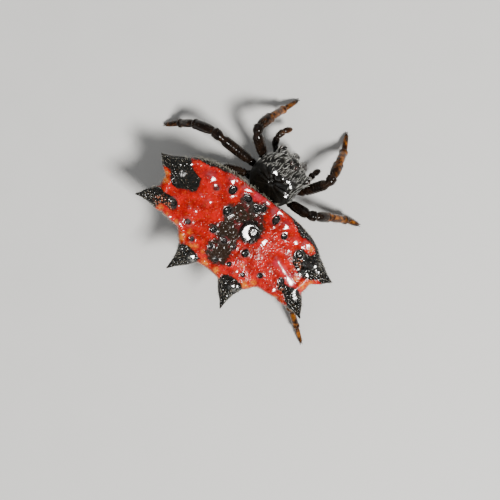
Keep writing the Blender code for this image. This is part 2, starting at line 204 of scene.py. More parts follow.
def outward(shell):
    # A closed shell whose volume comes out negative has its faces turned round.
    points, quads, triangles = shell
    fans = np.concatenate([quads[:, [0, 1, 2]], quads[:, [0, 2, 3]], triangles])
    a, b, c = (points[fans[:, k]] - points.mean(axis=0) for k in range(3))
    if np.einsum("ij,ij->i", np.cross(a, b), c).sum() < 0:
        return points, quads[:, ::-1], triangles[:, ::-1]
    return shell


def joined(shells):
    # Several shells in one, their corner numbers moved on.
    starts = np.cumsum([0] + [len(s[0]) for s in shells[:-1]])
    return tuple(np.concatenate([s[k] + (start if k else 0) for s, start in zip(shells, starts)])
                 for k in range(3))


def tubeRings(line, radii, sides, flat=1.0):
    # Rings square to a line, turned with it so that they don't twist.
    line = np.asarray(line, float)
    way = np.gradient(line, axis=0)
    way /= np.linalg.norm(way, axis=1)[:, None]
    turn = fullTurn(sides)
    up = np.array([0, 0, 1.0]) if abs(way[0][2]) < 0.9 else np.array([0, 1.0, 0])
    rings = []
    for point, ahead, radius in zip(line, way, radii):
        side = np.cross(ahead, up)
        side /= np.linalg.norm(side)
        up = np.cross(side, ahead)
        rings.append(point + radius * (np.outer(np.cos(turn), side) + flat * np.outer(np.sin(turn), up)))
    return np.array(rings)


def ellipsoid(place, size, rows=20, sides=32):
    # Rings from pole to pole: radius the sine, height the cosine of the same angle.
    down = np.linspace(0, math.pi, rows + 2)[1:-1]
    turn = fullTurn(sides)
    rings = np.stack([np.outer(np.sin(down), np.cos(turn)), np.outer(np.sin(down), np.sin(turn)),
                      np.outer(np.cos(down), np.ones(sides))], axis=-1)
    return shellFromRings(rings * size + place)


def addMesh(name, shell):
    # A new mesh of a shell's points and faces, put in as whole arrays.
    points, quads, triangles = shell
    mesh = bpy.data.meshes.new(name)
    corners = np.concatenate([quads.ravel(), triangles.ravel()]).astype(np.int32)
    counts = np.concatenate([np.full(len(quads), 4), np.full(len(triangles), 3)])
    starts = np.concatenate([[0], np.cumsum(counts)[:-1]]).astype(np.int32)
    mesh.vertices.add(len(points))
    mesh.vertices.foreach_set("co", np.asarray(points, np.float32).ravel())
    mesh.loops.add(len(corners))
    mesh.loops.foreach_set("vertex_index", corners)
    mesh.polygons.add(len(counts))
    mesh.polygons.foreach_set("loop_start", starts)
    mesh.update(calc_edges=True)
    mesh.validate()
    return mesh


def addObject(name, data):
    obj = bpy.data.objects.new(name, data)
    bpy.context.scene.collection.objects.link(obj)
    return obj


def fused(shells, voxel):
    # Closed shells that overlap, made one skin of even small quads.
    obj = addObject("fusing", addMesh("fusing", joined(shells)))
    remesh = obj.modifiers.new("voxels", "REMESH")
    remesh.mode = "VOXEL"
    remesh.voxel_size = voxel
    shaped = obj.evaluated_get(bpy.context.evaluated_depsgraph_get())
    mesh = bpy.data.meshes.new_from_object(shaped)
    points = np.empty(len(mesh.vertices) * 3)
    mesh.vertices.foreach_get("co", points)
    corners = np.empty(len(mesh.loops), np.int32)
    mesh.loops.foreach_get("vertex_index", corners)
    edges = np.empty(len(mesh.edges) * 2, np.int32)
    mesh.edges.foreach_get("vertices", edges)
    bpy.data.objects.remove(obj)
    bpy.data.meshes.remove(mesh)
    shell = outward((points.reshape(-1, 3), corners.reshape(-1, 4), np.zeros((0, 3), int)))
    return shell, edges.reshape(-1, 2)


def relaxed(points, edges, rounds):
    # Each point moves half of the way to the mean of its neighbours.
    a, b = edges.T
    total = len(points)
    count = np.bincount(edges.ravel(), minlength=total)[:, None]
    for _ in range(rounds):
        near = [np.bincount(a, points[b, k], total) + np.bincount(b, points[a, k], total) for k in range(3)]
        points = points + 0.5 * (np.stack(near, axis=1) / count - points)
    return points


def pointNormals(shell):
    # Each quad's normal, added up at its corners.
    points, quads, _ = shell
    normal = np.cross(points[quads[:, 2]] - points[quads[:, 0]], points[quads[:, 3]] - points[quads[:, 1]])
    total = np.stack([np.bincount(quads.ravel(), np.repeat(normal[:, k], 4), len(points))
                      for k in range(3)], axis=1)
    return total / np.maximum(np.linalg.norm(total, axis=1), 1e-12)[:, None]


def fusedSkin(shells, voxel):
    # The shells fused and smoothed, with the normal at each point.
    (points, quads, triangles), edges = fused(shells, voxel)
    points = relaxed(points, edges, 3)
    return points, quads, triangles, pointNormals((points, quads, triangles))


def addPiece(name, shell, material, nodes=(), attributes=None, uv=None):
    # The finished mesh in metres at its place, riding on the model's one body.
    points, quads, triangles = shell
    mesh = addMesh(name, (points * mm + shift, quads, triangles))
    for key, values in (attributes or {}).items():
        mesh.attributes.new(key, "FLOAT", "POINT").data.foreach_set("value", np.asarray(values, np.float32))
    if uv is not None:
        corners = np.empty(len(mesh.loops), np.int32)
        mesh.loops.foreach_get("vertex_index", corners)
        layer = mesh.uv_layers.new(name="OFBake")
        layer.data.foreach_set("uv", uv[corners].astype(np.float32).ravel())
    mesh.shade_smooth()
    mesh.materials.append(material)
    obj = addObject(name, mesh)
    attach(obj, "root")
    if nodes:
        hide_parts(*nodes)


# Tools for materials

def addNode(tree, kind, inputs=None, **settings):
    # A node with its settings, each input given a value or joined to another node's output.
    made = tree.nodes.new(kind)
    for name, value in settings.items():
        setattr(made, name, value)
    for name, value in (inputs or {}).items():
        if isinstance(value, bpy.types.NodeSocket):
            tree.links.new(value, made.inputs[name])
        else:
            made.inputs[name].default_value = value
    return made


def mixed(tree, share, a, b):
    # Colour a where share is 0, b where it is 1.
    return addNode(tree, "ShaderNodeMix", {0: share, 6: a, 7: b}, data_type="RGBA").outputs[2]


def ramp(tree, value, low, high, start=0.0, end=1.0):
    # From start to end while the value goes from low to high, smooth at both ends.
    inputs = {"Value": value, "From Min": low, "From Max": high, "To Min": start, "To Max": end}
    return addNode(tree, "ShaderNodeMapRange", inputs, interpolation_type="SMOOTHSTEP").outputs["Result"]


def combined(tree, operation, a, b):
    # Two values put together by a sum, a product or the like.
    return addNode(tree, "ShaderNodeMath", {0: a, 1: b}, operation=operation).outputs[0]


def attribute(tree, name, factor=None):
    # A value kept at the points of a mesh, times a factor where one is given.
    value = addNode(tree, "ShaderNodeAttribute", attribute_name=name).outputs["Fac"]
    return value if factor is None else combined(tree, "MULTIPLY", value, factor)


def noiseAt(tree, place, scale, detail=2.0, roughness=0.5):
    # Soft noise, about 0.5 on average.
    inputs = {"Vector": place, "Scale": scale, "Detail": detail, "Roughness": roughness}
    return addNode(tree, "ShaderNodeTexNoise", inputs).outputs[0]


def cellsAt(tree, place, scale):
    # Distance from the middle of the nearest of many small cells.
    return addNode(tree, "ShaderNodeTexVoronoi", {"Vector": place, "Scale": scale}).outputs["Distance"]


def newGroup(name, inputs, outputs):
    # An empty node group: a place and numbers go in, and numbers come out.
    tree = bpy.data.node_groups.new(name, "ShaderNodeTree")
    tree.interface.new_socket(name="Vector", in_out="INPUT", socket_type="NodeSocketVector")
    for label, value in inputs.items():
        socket = tree.interface.new_socket(name=label, in_out="INPUT", socket_type="NodeSocketFloat")
        socket.default_value = value
    for label in outputs:
        tree.interface.new_socket(name=label, in_out="OUTPUT", socket_type="NodeSocketFloat")
    return tree, tree.nodes.new("NodeGroupInput").outputs, tree.nodes.new("NodeGroupOutput").inputs


def makeChitinGrain():
    # Fine grain and round pebbles for a bump, and a slow mottling from 0 to 1.
    inputs = {"Grain Scale": 16000.0, "Pebble Scale": 8000.0, "Pebble Share": 0.5}
    tree, given, out = newGroup("chitinGrain", inputs, ("Height", "Mottle"))
    place = given["Vector"]
    grain = noiseAt(tree, place, given["Grain Scale"], 3.0)
    pebble = ramp(tree, cellsAt(tree, place, given["Pebble Scale"]), 0.0, 0.5, 1.0, 0.0)
    height = addNode(tree, "ShaderNodeMix", {0: given["Pebble Share"], 2: grain, 3: pebble})
    tree.links.new(height.outputs[0], out["Height"])
    mottle = noiseAt(tree, place, combined(tree, "MULTIPLY", given["Grain Scale"], 0.11), 4.0, 0.6)
    tree.links.new(ramp(tree, mottle, 0.32, 0.68), out["Mottle"])
    return tree


def makeRaggedEdge():
    # A mask from a distance field in millimetres, its edge broken up by noise.
    inputs = {"Distance": 0.0, "Scale": 7000.0, "Ragged": 0.2, "Softness": 0.06}
    tree, given, out = newGroup("raggedEdge", inputs, ("Mask",))
    centred = combined(tree, "SUBTRACT", noiseAt(tree, given["Vector"], given["Scale"], 4.0, 0.65), 0.5)
    moved = combined(tree, "MULTIPLY", centred, given["Ragged"])
    total = combined(tree, "ADD", moved, given["Distance"])
    shared = combined(tree, "DIVIDE", total, given["Softness"])
    tree.links.new(ramp(tree, shared, -1.0, 1.0), out["Mask"])
    return tree


def makeRoundPebbles():
    # Round caps side by side: 0 on top of each, lower by the square of the way from its middle.
    tree, given, out = newGroup("roundPebbles", {"Scale": 5000.0, "Mask": 1.0, "Rise": 5.0}, ("Height",))
    fall = combined(tree, "POWER", cellsAt(tree, given["Vector"], given["Scale"]), 2.0)
    deep = combined(tree, "MULTIPLY", fall, combined(tree, "MULTIPLY", given["Rise"], given["Mask"]))
    tree.links.new(combined(tree, "SUBTRACT", 0.0, deep), out["Height"])
    return tree


chitinGrain = makeChitinGrain()
roundPebbles = makeRoundPebbles()
raggedEdge = makeRaggedEdge()


def newMaterial(name, shine):
    # Empty material with its Principled shader. shine: constant sockets set on it directly.
    material = bpy.data.materials.new(name)
    material.use_nodes = True
    tree = material.node_tree
    shader = tree.nodes["Principled BSDF"]
    for socket, value in shine.items():
        shader.inputs[socket].default_value = value
    place = tree.nodes.new("ShaderNodeTexCoord").outputs["Object"]
    return material, tree, shader.inputs, place


def paint(tree, shader, colour, rough, coat=None):
    # The colour, roughness and coat that were worked out go to the shader.
    tree.links.new(colour, shader["Base Color"])
    tree.links.new(rough, shader["Roughness"])
    if coat is not None:
        tree.links.new(coat, shader["Coat Weight"])


def grainOn(tree, shader, place, grainScale, pebbleScale, pebbleShare, depth, smooth=None, more=None):
    # The shared grain as a bump of a depth in millimetres, less where it is smooth, with more
    # height on top of it where asked. Gives back its mottling.
    inputs = {"Vector": place, "Grain Scale": grainScale, "Pebble Scale": pebbleScale,
              "Pebble Share": pebbleShare}
    grain = addNode(tree, "ShaderNodeGroup", inputs, node_tree=chitinGrain)
    height = grain.outputs["Height"]
    if smooth is not None:
        height = combined(tree, "MULTIPLY", height, ramp(tree, smooth, 0.0, 1.0, 1.0, 0.05))
    if more is not None:
        height = combined(tree, "ADD", height, more)
    bump = addNode(tree, "ShaderNodeBump", {"Strength": 1.0, "Distance": depth * mm, "Height": height})
    tree.links.new(bump.outputs["Normal"], shader["Normal"])
    return grain.outputs["Mottle"]


def ragged(tree, place, mark, scale, amount, softness):
    # Where a marking is, its edge broken up.
    inputs = {"Vector": place, "Distance": attribute(tree, mark), "Scale": scale, "Ragged": amount,
              "Softness": softness}
    return addNode(tree, "ShaderNodeGroup", inputs, node_tree=raggedEdge).outputs["Mask"]


def hornMaterial(name, shine, grain, dark, warm, rough):
    # Plain chitin or horn: grain in the bump, its mottling between two colours and two roughnesses.
    material, tree, shader, place = newMaterial(name, shine)
    mottle = grainOn(tree, shader, place, *grain)
    paint(tree, shader, mixed(tree, mottle, dark, warm), ramp(tree, mottle, 0.0, 1.0, *rough))
    return material


# Abdomen

abdomen = {
    "shieldHeight": 4.1, "dome": 0.42, "domeReach": 0.9, "ridge": 0.05, "middleY": -0.3,
    "bellyShift": 0.9, "sides": 260, "voxel": 0.047, "spineFlat": 0.62,
    # half outline without spines, front to rear: x, y
    "outline": (
        (0.0, -2.95), (1.0, -2.95), (2.0, -2.96), (3.05, -2.83), (4.0, -2.56), (4.6, -2.18),
        (4.98, -1.55), (5.1, -0.9), (5.12, -0.3), (4.98, 0.3), (4.6, 0.95), (3.9, 1.3), (2.95, 1.4),
        (2.48, 1.82), (1.9, 2.3), (1.2, 2.4), (0.5, 2.31), (0.0, 2.28)),
    # rim, then the belly from rim to middle: share of the outline, height
    "rim": ((0.965, 4.07), (0.99, 3.93), (1.0, 3.75)),
    "belly": (
        (0.985, 3.5), (0.95, 3.3), (0.88, 3.1), (0.78, 2.9), (0.66, 2.7), (0.54, 2.5), (0.42, 2.27),
        (0.3, 2.05), (0.16, 1.87), (0.05, 1.81)),
    # spines of one side, root to tip: x, y, z, radius
    "spines": (
        ((3.5, -1.2, 3.55, 0.5), (4.1, -1.2, 3.66, 0.75), (4.7, -1.2, 3.74, 0.86),
         (5.1, -1.21, 3.8, 0.68), (5.45, -1.24, 3.86, 0.46), (5.75, -1.3, 3.94, 0.23),
         (5.98, -1.35, 4.01, 0.08), (6.1, -1.38, 4.04, 0.04)),
        ((3.2, 0.2, 3.5, 0.5), (3.85, 0.42, 3.62, 0.68), (4.5, 0.62, 3.7, 0.76), (4.95, 0.8, 3.74, 0.56),
         (5.32, 1.0, 3.79, 0.34), (5.58, 1.18, 3.84, 0.17), (5.78, 1.32, 3.89, 0.08),
         (5.88, 1.39, 3.91, 0.04)),
        ((1.4, 0.9, 3.4, 0.5), (1.44, 1.55, 3.56, 0.72), (1.47, 2.15, 3.66, 0.76),
         (1.55, 2.6, 3.69, 0.54), (1.66, 2.95, 3.73, 0.34), (1.77, 3.25, 3.77, 0.19),
         (1.87, 3.56, 3.82, 0.08), (1.91, 3.68, 3.84, 0.04)),
    ),
    "spinnerets": (
        (0.0, 0.75, 2.4, 0.95), (0.0, 0.75, 2.05, 0.74), (0.0, 0.76, 1.75, 0.56), (0.0, 0.78, 1.5, 0.42),
        (0.0, 0.8, 1.38, 0.3)),
    # their tips: degrees round the middle, distance from it, half height
    "spinneretMiddle": (0.8, 1.36), "spinneretTip": 0.12,
    "spinneretTips": ((40, 0.2, 0.2), (140, 0.2, 0.2), (215, 0.18, 0.16), (325, 0.18, 0.16),
                      (90, 0.02, 0.12)),
    # pits: x, y, half width, half length, collar's rise, depth
    "pits": (
        (2.38, -1.68, 0.16, 0.19, 0.02, 0.05), (1.56, -2.16, 0.18, 0.25, 0.06, 0.12),
        (0.6, -2.28, 0.24, 0.2, 0.08, 0.1), (-0.16, -2.1, 0.2, 0.2, 0.08, 0.1),
        (-0.42, -2.32, 0.16, 0.18, 0.07, 0.1), (-1.4, -2.27, 0.17, 0.26, 0.07, 0.13),
        (-2.34, -1.79, 0.15, 0.17, 0.07, 0.1), (-3.65, -1.5, 0.22, 0.2, 0.09, 0.12),
        (1.07, -1.01, 0.2, 0.22, 0.08, 0.1), (-1.16, 0.29, 0.18, 0.2, 0.09, 0.12),
        (1.09, 0.33, 0.15, 0.15, 0.06, 0.09), (0.27, 0.42, 0.17, 0.15, 0.08, 0.06),
        (-0.44, 0.41, 0.12, 0.12, 0.05, 0.06), (-0.8, 1.33, 0.13, 0.13, 0.07, 0.08),
        (-0.01, 1.54, 0.12, 0.1, 0.06, 0.07), (-2.58, 0.79, 0.14, 0.14, 0.06, 0.09),
        (-1.77, 1.35, 0.13, 0.12, 0.06, 0.08), (1.76, 1.46, 0.14, 0.13, 0.05, 0.06),
        (2.52, 0.84, 0.18, 0.16, 0.05, 0.06), (0.64, 1.18, 0.12, 0.12, 0.05, 0.07),
        (3.84, 0.47, 0.2, 0.18, 0.05, 0.1), (-3.72, 0.3, 0.18, 0.16, 0.06, 0.08)),
    "blackFrom": 0.09,  # depth at which a pit is quite black
    # the big boss: x, y, radius and rise, then its slanting facet: level, slope along x and y
    "boss": (-0.62, -0.82, 0.44, 0.25, 0.11, 0.277, -0.104), "bossPit": (-0.83, -0.94, 0.25, 0.15),
    # low bumps: x, y, radius, rise
    "bumps": (
        (3.0, -2.07, 0.37, 0.163), (1.94, -2.64, 0.32, 0.15), (0.93, -2.67, 0.29, 0.104),
        (1.14, -2.59, 0.2, 0.09), (-0.4, -2.8, 0.21, 0.07), (-1.13, -2.64, 0.37, 0.12),
        (-2.02, -2.41, 0.29, 0.105), (-1.52, -0.66, 0.23, 0.055), (-1.56, -1.0, 0.23, 0.058),
        (-2.98, -2.04, 0.27, 0.08), (-3.58, -2.18, 0.27, 0.1), (-3.51, -1.98, 0.19, 0.055),
        (-2.96, -1.34, 0.19, 0.04), (-2.36, -0.48, 0.17, 0.036), (-2.78, -0.55, 0.21, 0.04),
        (-2.58, 0.02, 0.19, 0.036), (-2.82, 0.32, 0.19, 0.034), (2.22, -0.85, 0.17, 0.065),
        (2.57, 0.09, 0.16, 0.06), (2.8, -0.8, 0.16, 0.06), (2.92, 0.14, 0.16, 0.06),
        (3.57, 1.24, 0.21, 0.074), (2.84, 1.11, 0.27, 0.12), (1.14, 2.3, 0.32, 0.14),
        (-1.72, 2.25, 0.32, 0.13), (-1.35, 1.47, 0.19, 0.045), (-4.22, -1.3, 0.23, 0.06),
        (-4.8, -1.6, 0.27, 0.1), (-4.41, -0.8, 0.21, 0.07), (-4.99, -1.4, 0.2, 0.06),
        (-3.61, 0.99, 0.17, 0.06), (2.3, -0.6, 0.3, 0.03)),
    # ridges: from x, y to x, y, width, rise at each end
    "ridges": ((-2.95, -0.44, -4.95, 0.38, 0.38, 0.17, 0.06), (-3.4, -1.5, -4.6, -1.3, 0.25, 0.05, 0.06)),
    # small facets that catch the key light: x, y, radius
    "spots": (
        (2.84, -2.0, 0.13), (1.84, -2.52, 0.12), (1.1, 2.24, 0.14), (0.95, -2.6, 0.1),
        (-0.4, -2.75, 0.07), (-1.3, -2.7, 0.11), (-2.1, -2.3, 0.12), (-2.32, -2.05, 0.08),
        (-1.65, -0.8, 0.12), (-3.07, -1.93, 0.1), (-3.7, -2.2, 0.09), (-3.5, -1.9, 0.07),
        (-1.72, 2.19, 0.12), (-1.95, 2.07, 0.07), (3.47, 1.21, 0.07), (2.79, 1.2, 0.08),
        (-4.7, -0.83, 0.09), (-4.76, -1.51, 0.09), (-4.92, 0.6, 0.1), (4.78, -1.5, 0.06),
        (1.85, 2.25, 0.07), (-3.98, -1.72, 0.06), (4.3, -1.9, 0.06), (0.22, 0.37, 0.07),
        (1.07, -0.96, 0.06), (1.05, -0.51, 0.04), (1.06, 0.3, 0.04), (4.36, -0.51, 0.05),
        (4.18, -1.7, 0.05), (-5.1, -1.36, 0.06), (-4.9, -1.64, 0.05), (-4.36, -0.64, 0.06),
        (-4.5, -0.98, 0.05), (-4.1, -0.82, 0.05), (-1.8, 2.85, 0.05), (1.68, 2.7, 0.05)),
    # where the black is nearly smooth: x, y, radius
    "quiet": ((3.85, -0.95, 0.85), (4.3, -1.2, 0.45), (-4.3, -1.75, 0.3)),
    # rings round the tip of the middle spine on the right: x, y, height, step
    "tipRings": (-5.78, 1.32, 0.022, 0.17),
    # waves and grains: height, size, seed
    "pitEdge": (0.16, 0.22, 41), "pebbles": (0.03, 0.14, 17), "waves": (0.02, 0.75, 3),
    "folds": (0.012, 0.3, 5), "redGrain": (0.011, 0.16, 11), "spineGrain": (0.012, 0.2, 12),
    "bellyFolds": (0.03, 0.5, 8),
}

# Markings in plan, x and y: polygons for black and for the dusky middle, discs for the rest. The pink discs
# are a painted highlight sheen.
markings = {
    "black": (
        ((5.37, -2.56), (4.63, -2.3), (4.34, -1.95), (3.99, -1.71), (3.66, -1.63), (3.36, -1.59),
         (3.22, -1.26), (3.16, -1.03), (3.17, -0.73), (3.51, -0.61), (3.82, -0.45), (4.13, -0.3),
         (4.38, -0.28), (4.6, -0.36), (4.84, -0.57), (5.0, -0.86), (5.3, -0.9), (5.6, -0.85),
         (6.6, -0.9), (6.6, -1.64)),
        ((-1.56, -3.05), (-2.03, -2.86), (-2.47, -2.66), (-2.84, -2.44), (-3.15, -2.38), (-3.42, -2.42),
         (-3.68, -2.42), (-4.0, -2.36), (-4.2, -2.24), (-4.32, -2.1), (-4.19, -1.87), (-3.92, -1.8),
         (-3.59, -1.88), (-3.38, -1.66), (-3.33, -1.36), (-3.41, -1.15), (-3.6, -0.87), (-3.9, -0.75),
         (-4.21, -0.6), (-4.5, -0.56), (-4.8, -0.62), (-5.1, -0.76), (-5.3, -0.95), (-6.6, -0.9),
         (-6.6, -1.8), (-5.16, -2.53), (-4.19, -2.88), (-3.34, -3.21), (-2.47, -3.36), (-1.81, -3.3)),
        # a dark band along the front margin on the left, as dark as the black markings
        ((4.5, -2.15), (4.16, -2.33), (3.8, -2.35), (3.42, -2.43), (3.06, -2.58), (2.47, -2.72),
         (1.81, -2.92), (1.3, -3.0), (0.7, -3.2), (3.0, -3.4), (4.7, -2.9)),
        ((5.57, 0.1), (5.17, 0.28), (4.85, 0.2), (4.6, 0.28), (4.25, 0.2), (3.87, 0.21), (3.56, 0.36),
         (3.46, 0.61), (3.58, 0.81), (3.84, 0.89), (4.19, 0.85), (4.42, 0.95), (4.45, 1.15), (4.5, 1.35),
         (4.52, 1.79), (5.9, 1.9), (6.4, 1.23)),
        ((-6.4, 1.2), (-5.3, 0.35), (-4.7, 0.1), (-4.25, 0.3), (-3.8, 0.3), (-3.55, 0.55), (-3.8, 0.8),
         (-4.25, 0.85), (-4.55, 1.1), (-5.2, 1.55), (-6.2, 2.0)),
        ((2.1, 4.1), (2.6, 2.8), (2.3, 2.2), (1.9, 1.93), (1.61, 1.88), (1.1, 1.95), (0.72, 2.08),
         (0.8, 2.7), (1.6, 4.1)),
        ((-2.1, 4.1), (-2.6, 2.8), (-2.35, 2.1), (-2.03, 1.8), (-1.55, 1.74), (-1.1, 1.82),
         (-0.86, 1.95), (-0.8, 2.6), (-1.6, 4.1)),
    ),
    "dusk": (
        ((0.9, -2.05), (0.72, -2.5), (0.35, -2.42), (-0.1, -2.45), (-0.38, -2.72), (-0.72, -2.5),
         (-0.75, -2.1), (-0.92, -1.85), (-1.26, -1.4), (-1.4, -0.9), (-1.26, -0.55), (-0.8, -0.3),
         (-0.45, -0.07), (-0.5, 0.3), (-0.58, 0.81), (-0.6, 1.57), (-0.2, 1.85), (0.3, 1.85),
         (0.72, 1.61), (0.95, 1.03), (0.73, 0.55), (1.42, 0.22), (1.28, 0.0), (1.0, -0.44), (1.32, -0.9),
         (1.25, -1.3), (0.9, -1.67)),
    ),
    # x, y, radius
    "orange": (
        (5.16, -0.6, 0.22), (5.02, -0.33, 0.22), (2.3, 1.78, 0.24), (1.6, 1.9, 0.16), (0.36, 2.1, 0.2),
        (-0.43, 2.08, 0.18), (-2.2, 1.74, 0.22), (-2.5, 1.35, 0.15), (-1.46, 0.95, 0.1),
        (-4.33, -0.32, 0.14), (-4.85, -0.2, 0.2), (-5.13, -0.52, 0.2), (-3.97, -2.16, 0.2),
        (-4.0, 1.28, 0.12), (4.26, 1.14, 0.16), (3.72, 1.22, 0.12), (3.0, 1.27, 0.15),
        (2.08, 1.22, 0.13), (1.36, 1.7, 0.14), (0.84, 1.64, 0.09)),
    # pink sheen: a painted highlight, the key light's haze along the front margin and the ridge on the right
    "pink": (
        (0.21, -2.7, 0.3), (-0.35, -2.75, 0.3), (-3.4, -0.27, 0.26), (-3.9, -0.1, 0.26),
        (-4.3, 0.05, 0.22), (-2.9, -0.35, 0.25), (0.1, -2.0, 0.25)),
    # brown and orange grains in the black
    "speckle": (
        (4.19, 0.95, 0.5), (3.85, 0.95, 0.35), (-3.95, -0.9, 0.28), (4.6, 0.75, 0.35), (-3.9, 0.75, 0.3),
        (-3.85, -1.2, 0.22)),
}

abdomenLook = {
    "deepRed": (0.2, 0.0, 0.0, 1), "brightRed": (0.48, 0.0, 0.0, 1), "freckle": (0.7, 0.012, 0.004, 1),
    # the pink is a painted highlight: the haze round glints on bumps and along the ridge
    "orange": (0.5, 0.045, 0.001, 1), "yellow": (0.62, 0.2, 0.01, 1), "pink": (0.5, 0.03, 0.08, 1),
    "dusk": (0.018, 0.009, 0.0045, 1), "duskRed": (0.1, 0.006, 0.008, 1), "pit": (0.004, 0.003, 0.002, 1),
    "black": (0.005, 0.005, 0.004, 1), "brown": (0.03, 0.016, 0.008, 1), "belly": (0.018, 0.012, 0.008, 1),
    "speckle": (0.42, 0.13, 0.07, 1),
    "shine": {"Coat Roughness": 0.2, "Coat IOR": 1.8, "IOR": 1.5, "Specular IOR Level": 0.36},
    # grain scale, pebble scale, share of pebbles, depth
    "grain": (17000, 6500, 0.8, 0.02), "pebbleScale": 5000, "pebbleRise": 6,
    "freckleScale": 5200.0, "speckleScale": 8500.0, "fineScale": 9000.0,
    # edge of each marking: noise scale, raggedness and softness in millimetres
    "edges": {"orange": (5000, 0.35, 0.14), "dusk": (4800, 0.62, 0.13), "black": (6500, 0.3, 0.06),
              "belly": (3000, 0.25, 0.1)},
}


def abdomenOutline():
    return np.array(abdomen["outline"]) * (1, -1) + (0, abdomen["middleY"])


def abdomenReach(x, y):
    # Share of the way from the shield's middle to its outline, in plan.
    forward = abdomen["middleY"] - y
    return np.hypot(x, y - abdomen["middleY"]) / outlineReach(abdomenOutline(), x, forward)


def abdomenShell():
    # Rings of the outline shrunk by a share, each at its height: a low dome, the ridge, the rim
    # and the belly. The spines are flattened tapering tubes.
    d = abdomen
    flat, dome, edge = d["shieldHeight"], d["dome"], d["domeReach"]
    levels = [(s, flat + dome * (1 - (s / edge) ** 2), 0.0) for s in np.linspace(0.04, 0.88, 9)]
    levels += [(0.925, flat + d["ridge"], 0.0), *((s, z, 0.0) for s, z in d["rim"])]
    levels += [(s, z, (1 - s) ** 1.25) for s, z in d["belly"]]
    turn = fullTurn(d["sides"])
    reach = outlineReach(abdomenOutline(), np.cos(turn), -np.sin(turn))
    rings = []
    for share, height, fall in refined(levels, 4):
        radius = reach * share
        y = d["middleY"] + radius * np.sin(turn) + fall * d["bellyShift"]
        rings.append(np.stack([radius * np.cos(turn), y, np.full(d["sides"], height)], axis=1))
    shells = [shellFromRings(rings)]
    for side in (1, -1):
        for spine in d["spines"]:
            rows = refined(np.array(spine) * (side, 1, 1, 1), 4)
            rings = tubeRings(rows[:, :3], np.maximum(rows[:, 3], 0.02), 28, d["spineFlat"])
            shells.append(shellFromRings(rings))
    rows = refined(d["spinnerets"], 3)
    shells.append(shellFromRings(tubeRings(rows[:, :3], rows[:, 3], 36)))
    wide = d["spinneretTip"]
    y, z = d["spinneretMiddle"]
    for degrees, out, tall in d["spinneretTips"]:
        angle = math.radians(degrees)
        place = (out * math.cos(angle), y + out * math.sin(angle), z)
        shells.append(ellipsoid(place, (wide, wide, tall), 10, 16))
    return shells


def abdomenPits(x, y, uneven):
    # A pit is a hollow with a soft wall and a collar round it. Gives how far each point rises,
    # and how dark, polished and pebbled it is.
    d = abdomen
    rise, dark, polish, pebbled = np.zeros((4, len(x)))
    for px, py, wide, long, collar, depth in d["pits"]:
        away = np.hypot((x - px) / wide, (y - py) / long) * uneven
        rise += collar * np.exp(-((away - 1.4) / 0.4) ** 2) - depth * smoothStep(1.2, 0.7, away)
        shade = np.maximum(smoothStep(1.3, 0.95, away), 0.4 * smoothStep(1.9, 1.3, away))
        dark = np.maximum(dark, min(1.0, depth / d["blackFrom"]) * shade)
        pebbled = np.maximum(pebbled, smoothStep(1.15, 0.8, away))
        polish = np.maximum(polish, smoothStep(2.0, 1.5, away))
    # the boss: a low round cap cut off by a facet that slants to the right, with a pit in it
    px, py, radius, cap, level, slopeX, slopeY = d["boss"]
    away = np.hypot(x - px, y - py) / radius
    facet = np.maximum(level + slopeX * (x - px) + slopeY * (y - py), 0)
    rise += np.minimum(cap * smoothStep(1.3, 0.8, away), facet)
    polish = np.maximum(polish, smoothStep(1.2, 1.0, away))
    dark = np.maximum(dark, 0.7 * smoothStep(1.8, 1.2, away * uneven))
    pebbled = np.maximum(pebbled, smoothStep(0.8, 1.0, away) * smoothStep(1.6, 1.3, away))
    px, py, radius, depth = d["bossPit"]
    away = np.hypot(x - px, y - py) * uneven / radius
    rise -= depth * smoothStep(1.25, 0.7, away)
    pebbled = np.maximum(pebbled, smoothStep(1.1, 0.8, away))
    return rise, dark, polish, pebbled


def abdomenBumps(x, y):
    # Bumps and ridges, round in section. Gives rise, polish and a painted pink highlight on their tops.
    rise, polish, pink = np.zeros((3, len(x)))
    for px, py, radius, height in abdomen["bumps"]:
        bump = bell(x, y, px, py, radius)
        rise += height * bump
        polish = np.maximum(polish, smoothStep(0.2, 0.5, bump) * smoothStep(0.02, 0.035, height))
        # painted highlight: the tops of the taller bumps turn pink
        pink = np.maximum(pink, 0.5 * bump * smoothStep(0.03, 0.1, height))
    plan = np.stack([x, y], axis=1)
    for ax, ay, bx, by, width, start, end in abdomen["ridges"]:
        t, away = alongSegment(plan, (ax, ay), (bx, by))
        ridge = np.exp(-(away / width) ** 2)
        rise += (start + (end - start) * t) * ridge
        polish = np.maximum(polish, smoothStep(0.6, 0.9, ridge))
    return rise, polish, pink


def abdomenMarks(points):
    # How far inside each marking a point is, or, for the painted pink highlight sheen and the speckle, how
    # strong they are there.
    # The hind margin is orange too, and the belly is dark.
    x, y, z = points.T
    orange = np.max([radius - np.hypot(x - px, y - py) for px, py, radius in markings["orange"]], axis=0)
    margin = smoothStep(0.8, 1.8, y) * smoothStep(0.9, 1.0, abdomenReach(x, y))
    return {"black": insideAny(points, markings["black"]), "dusk": insideAny(points, markings["dusk"]),
            "orange": np.maximum(orange, 0.13 * margin - 0.12),
            "pink": nearDiscs(x, y, markings["pink"], 1.3, 0.3),
            "speckle": nearDiscs(x, y, markings["speckle"], 1.2, 0.4),
            "belly": 3.62 - z + 0.35 * smoothStep(-2.2, -2.8, y)}


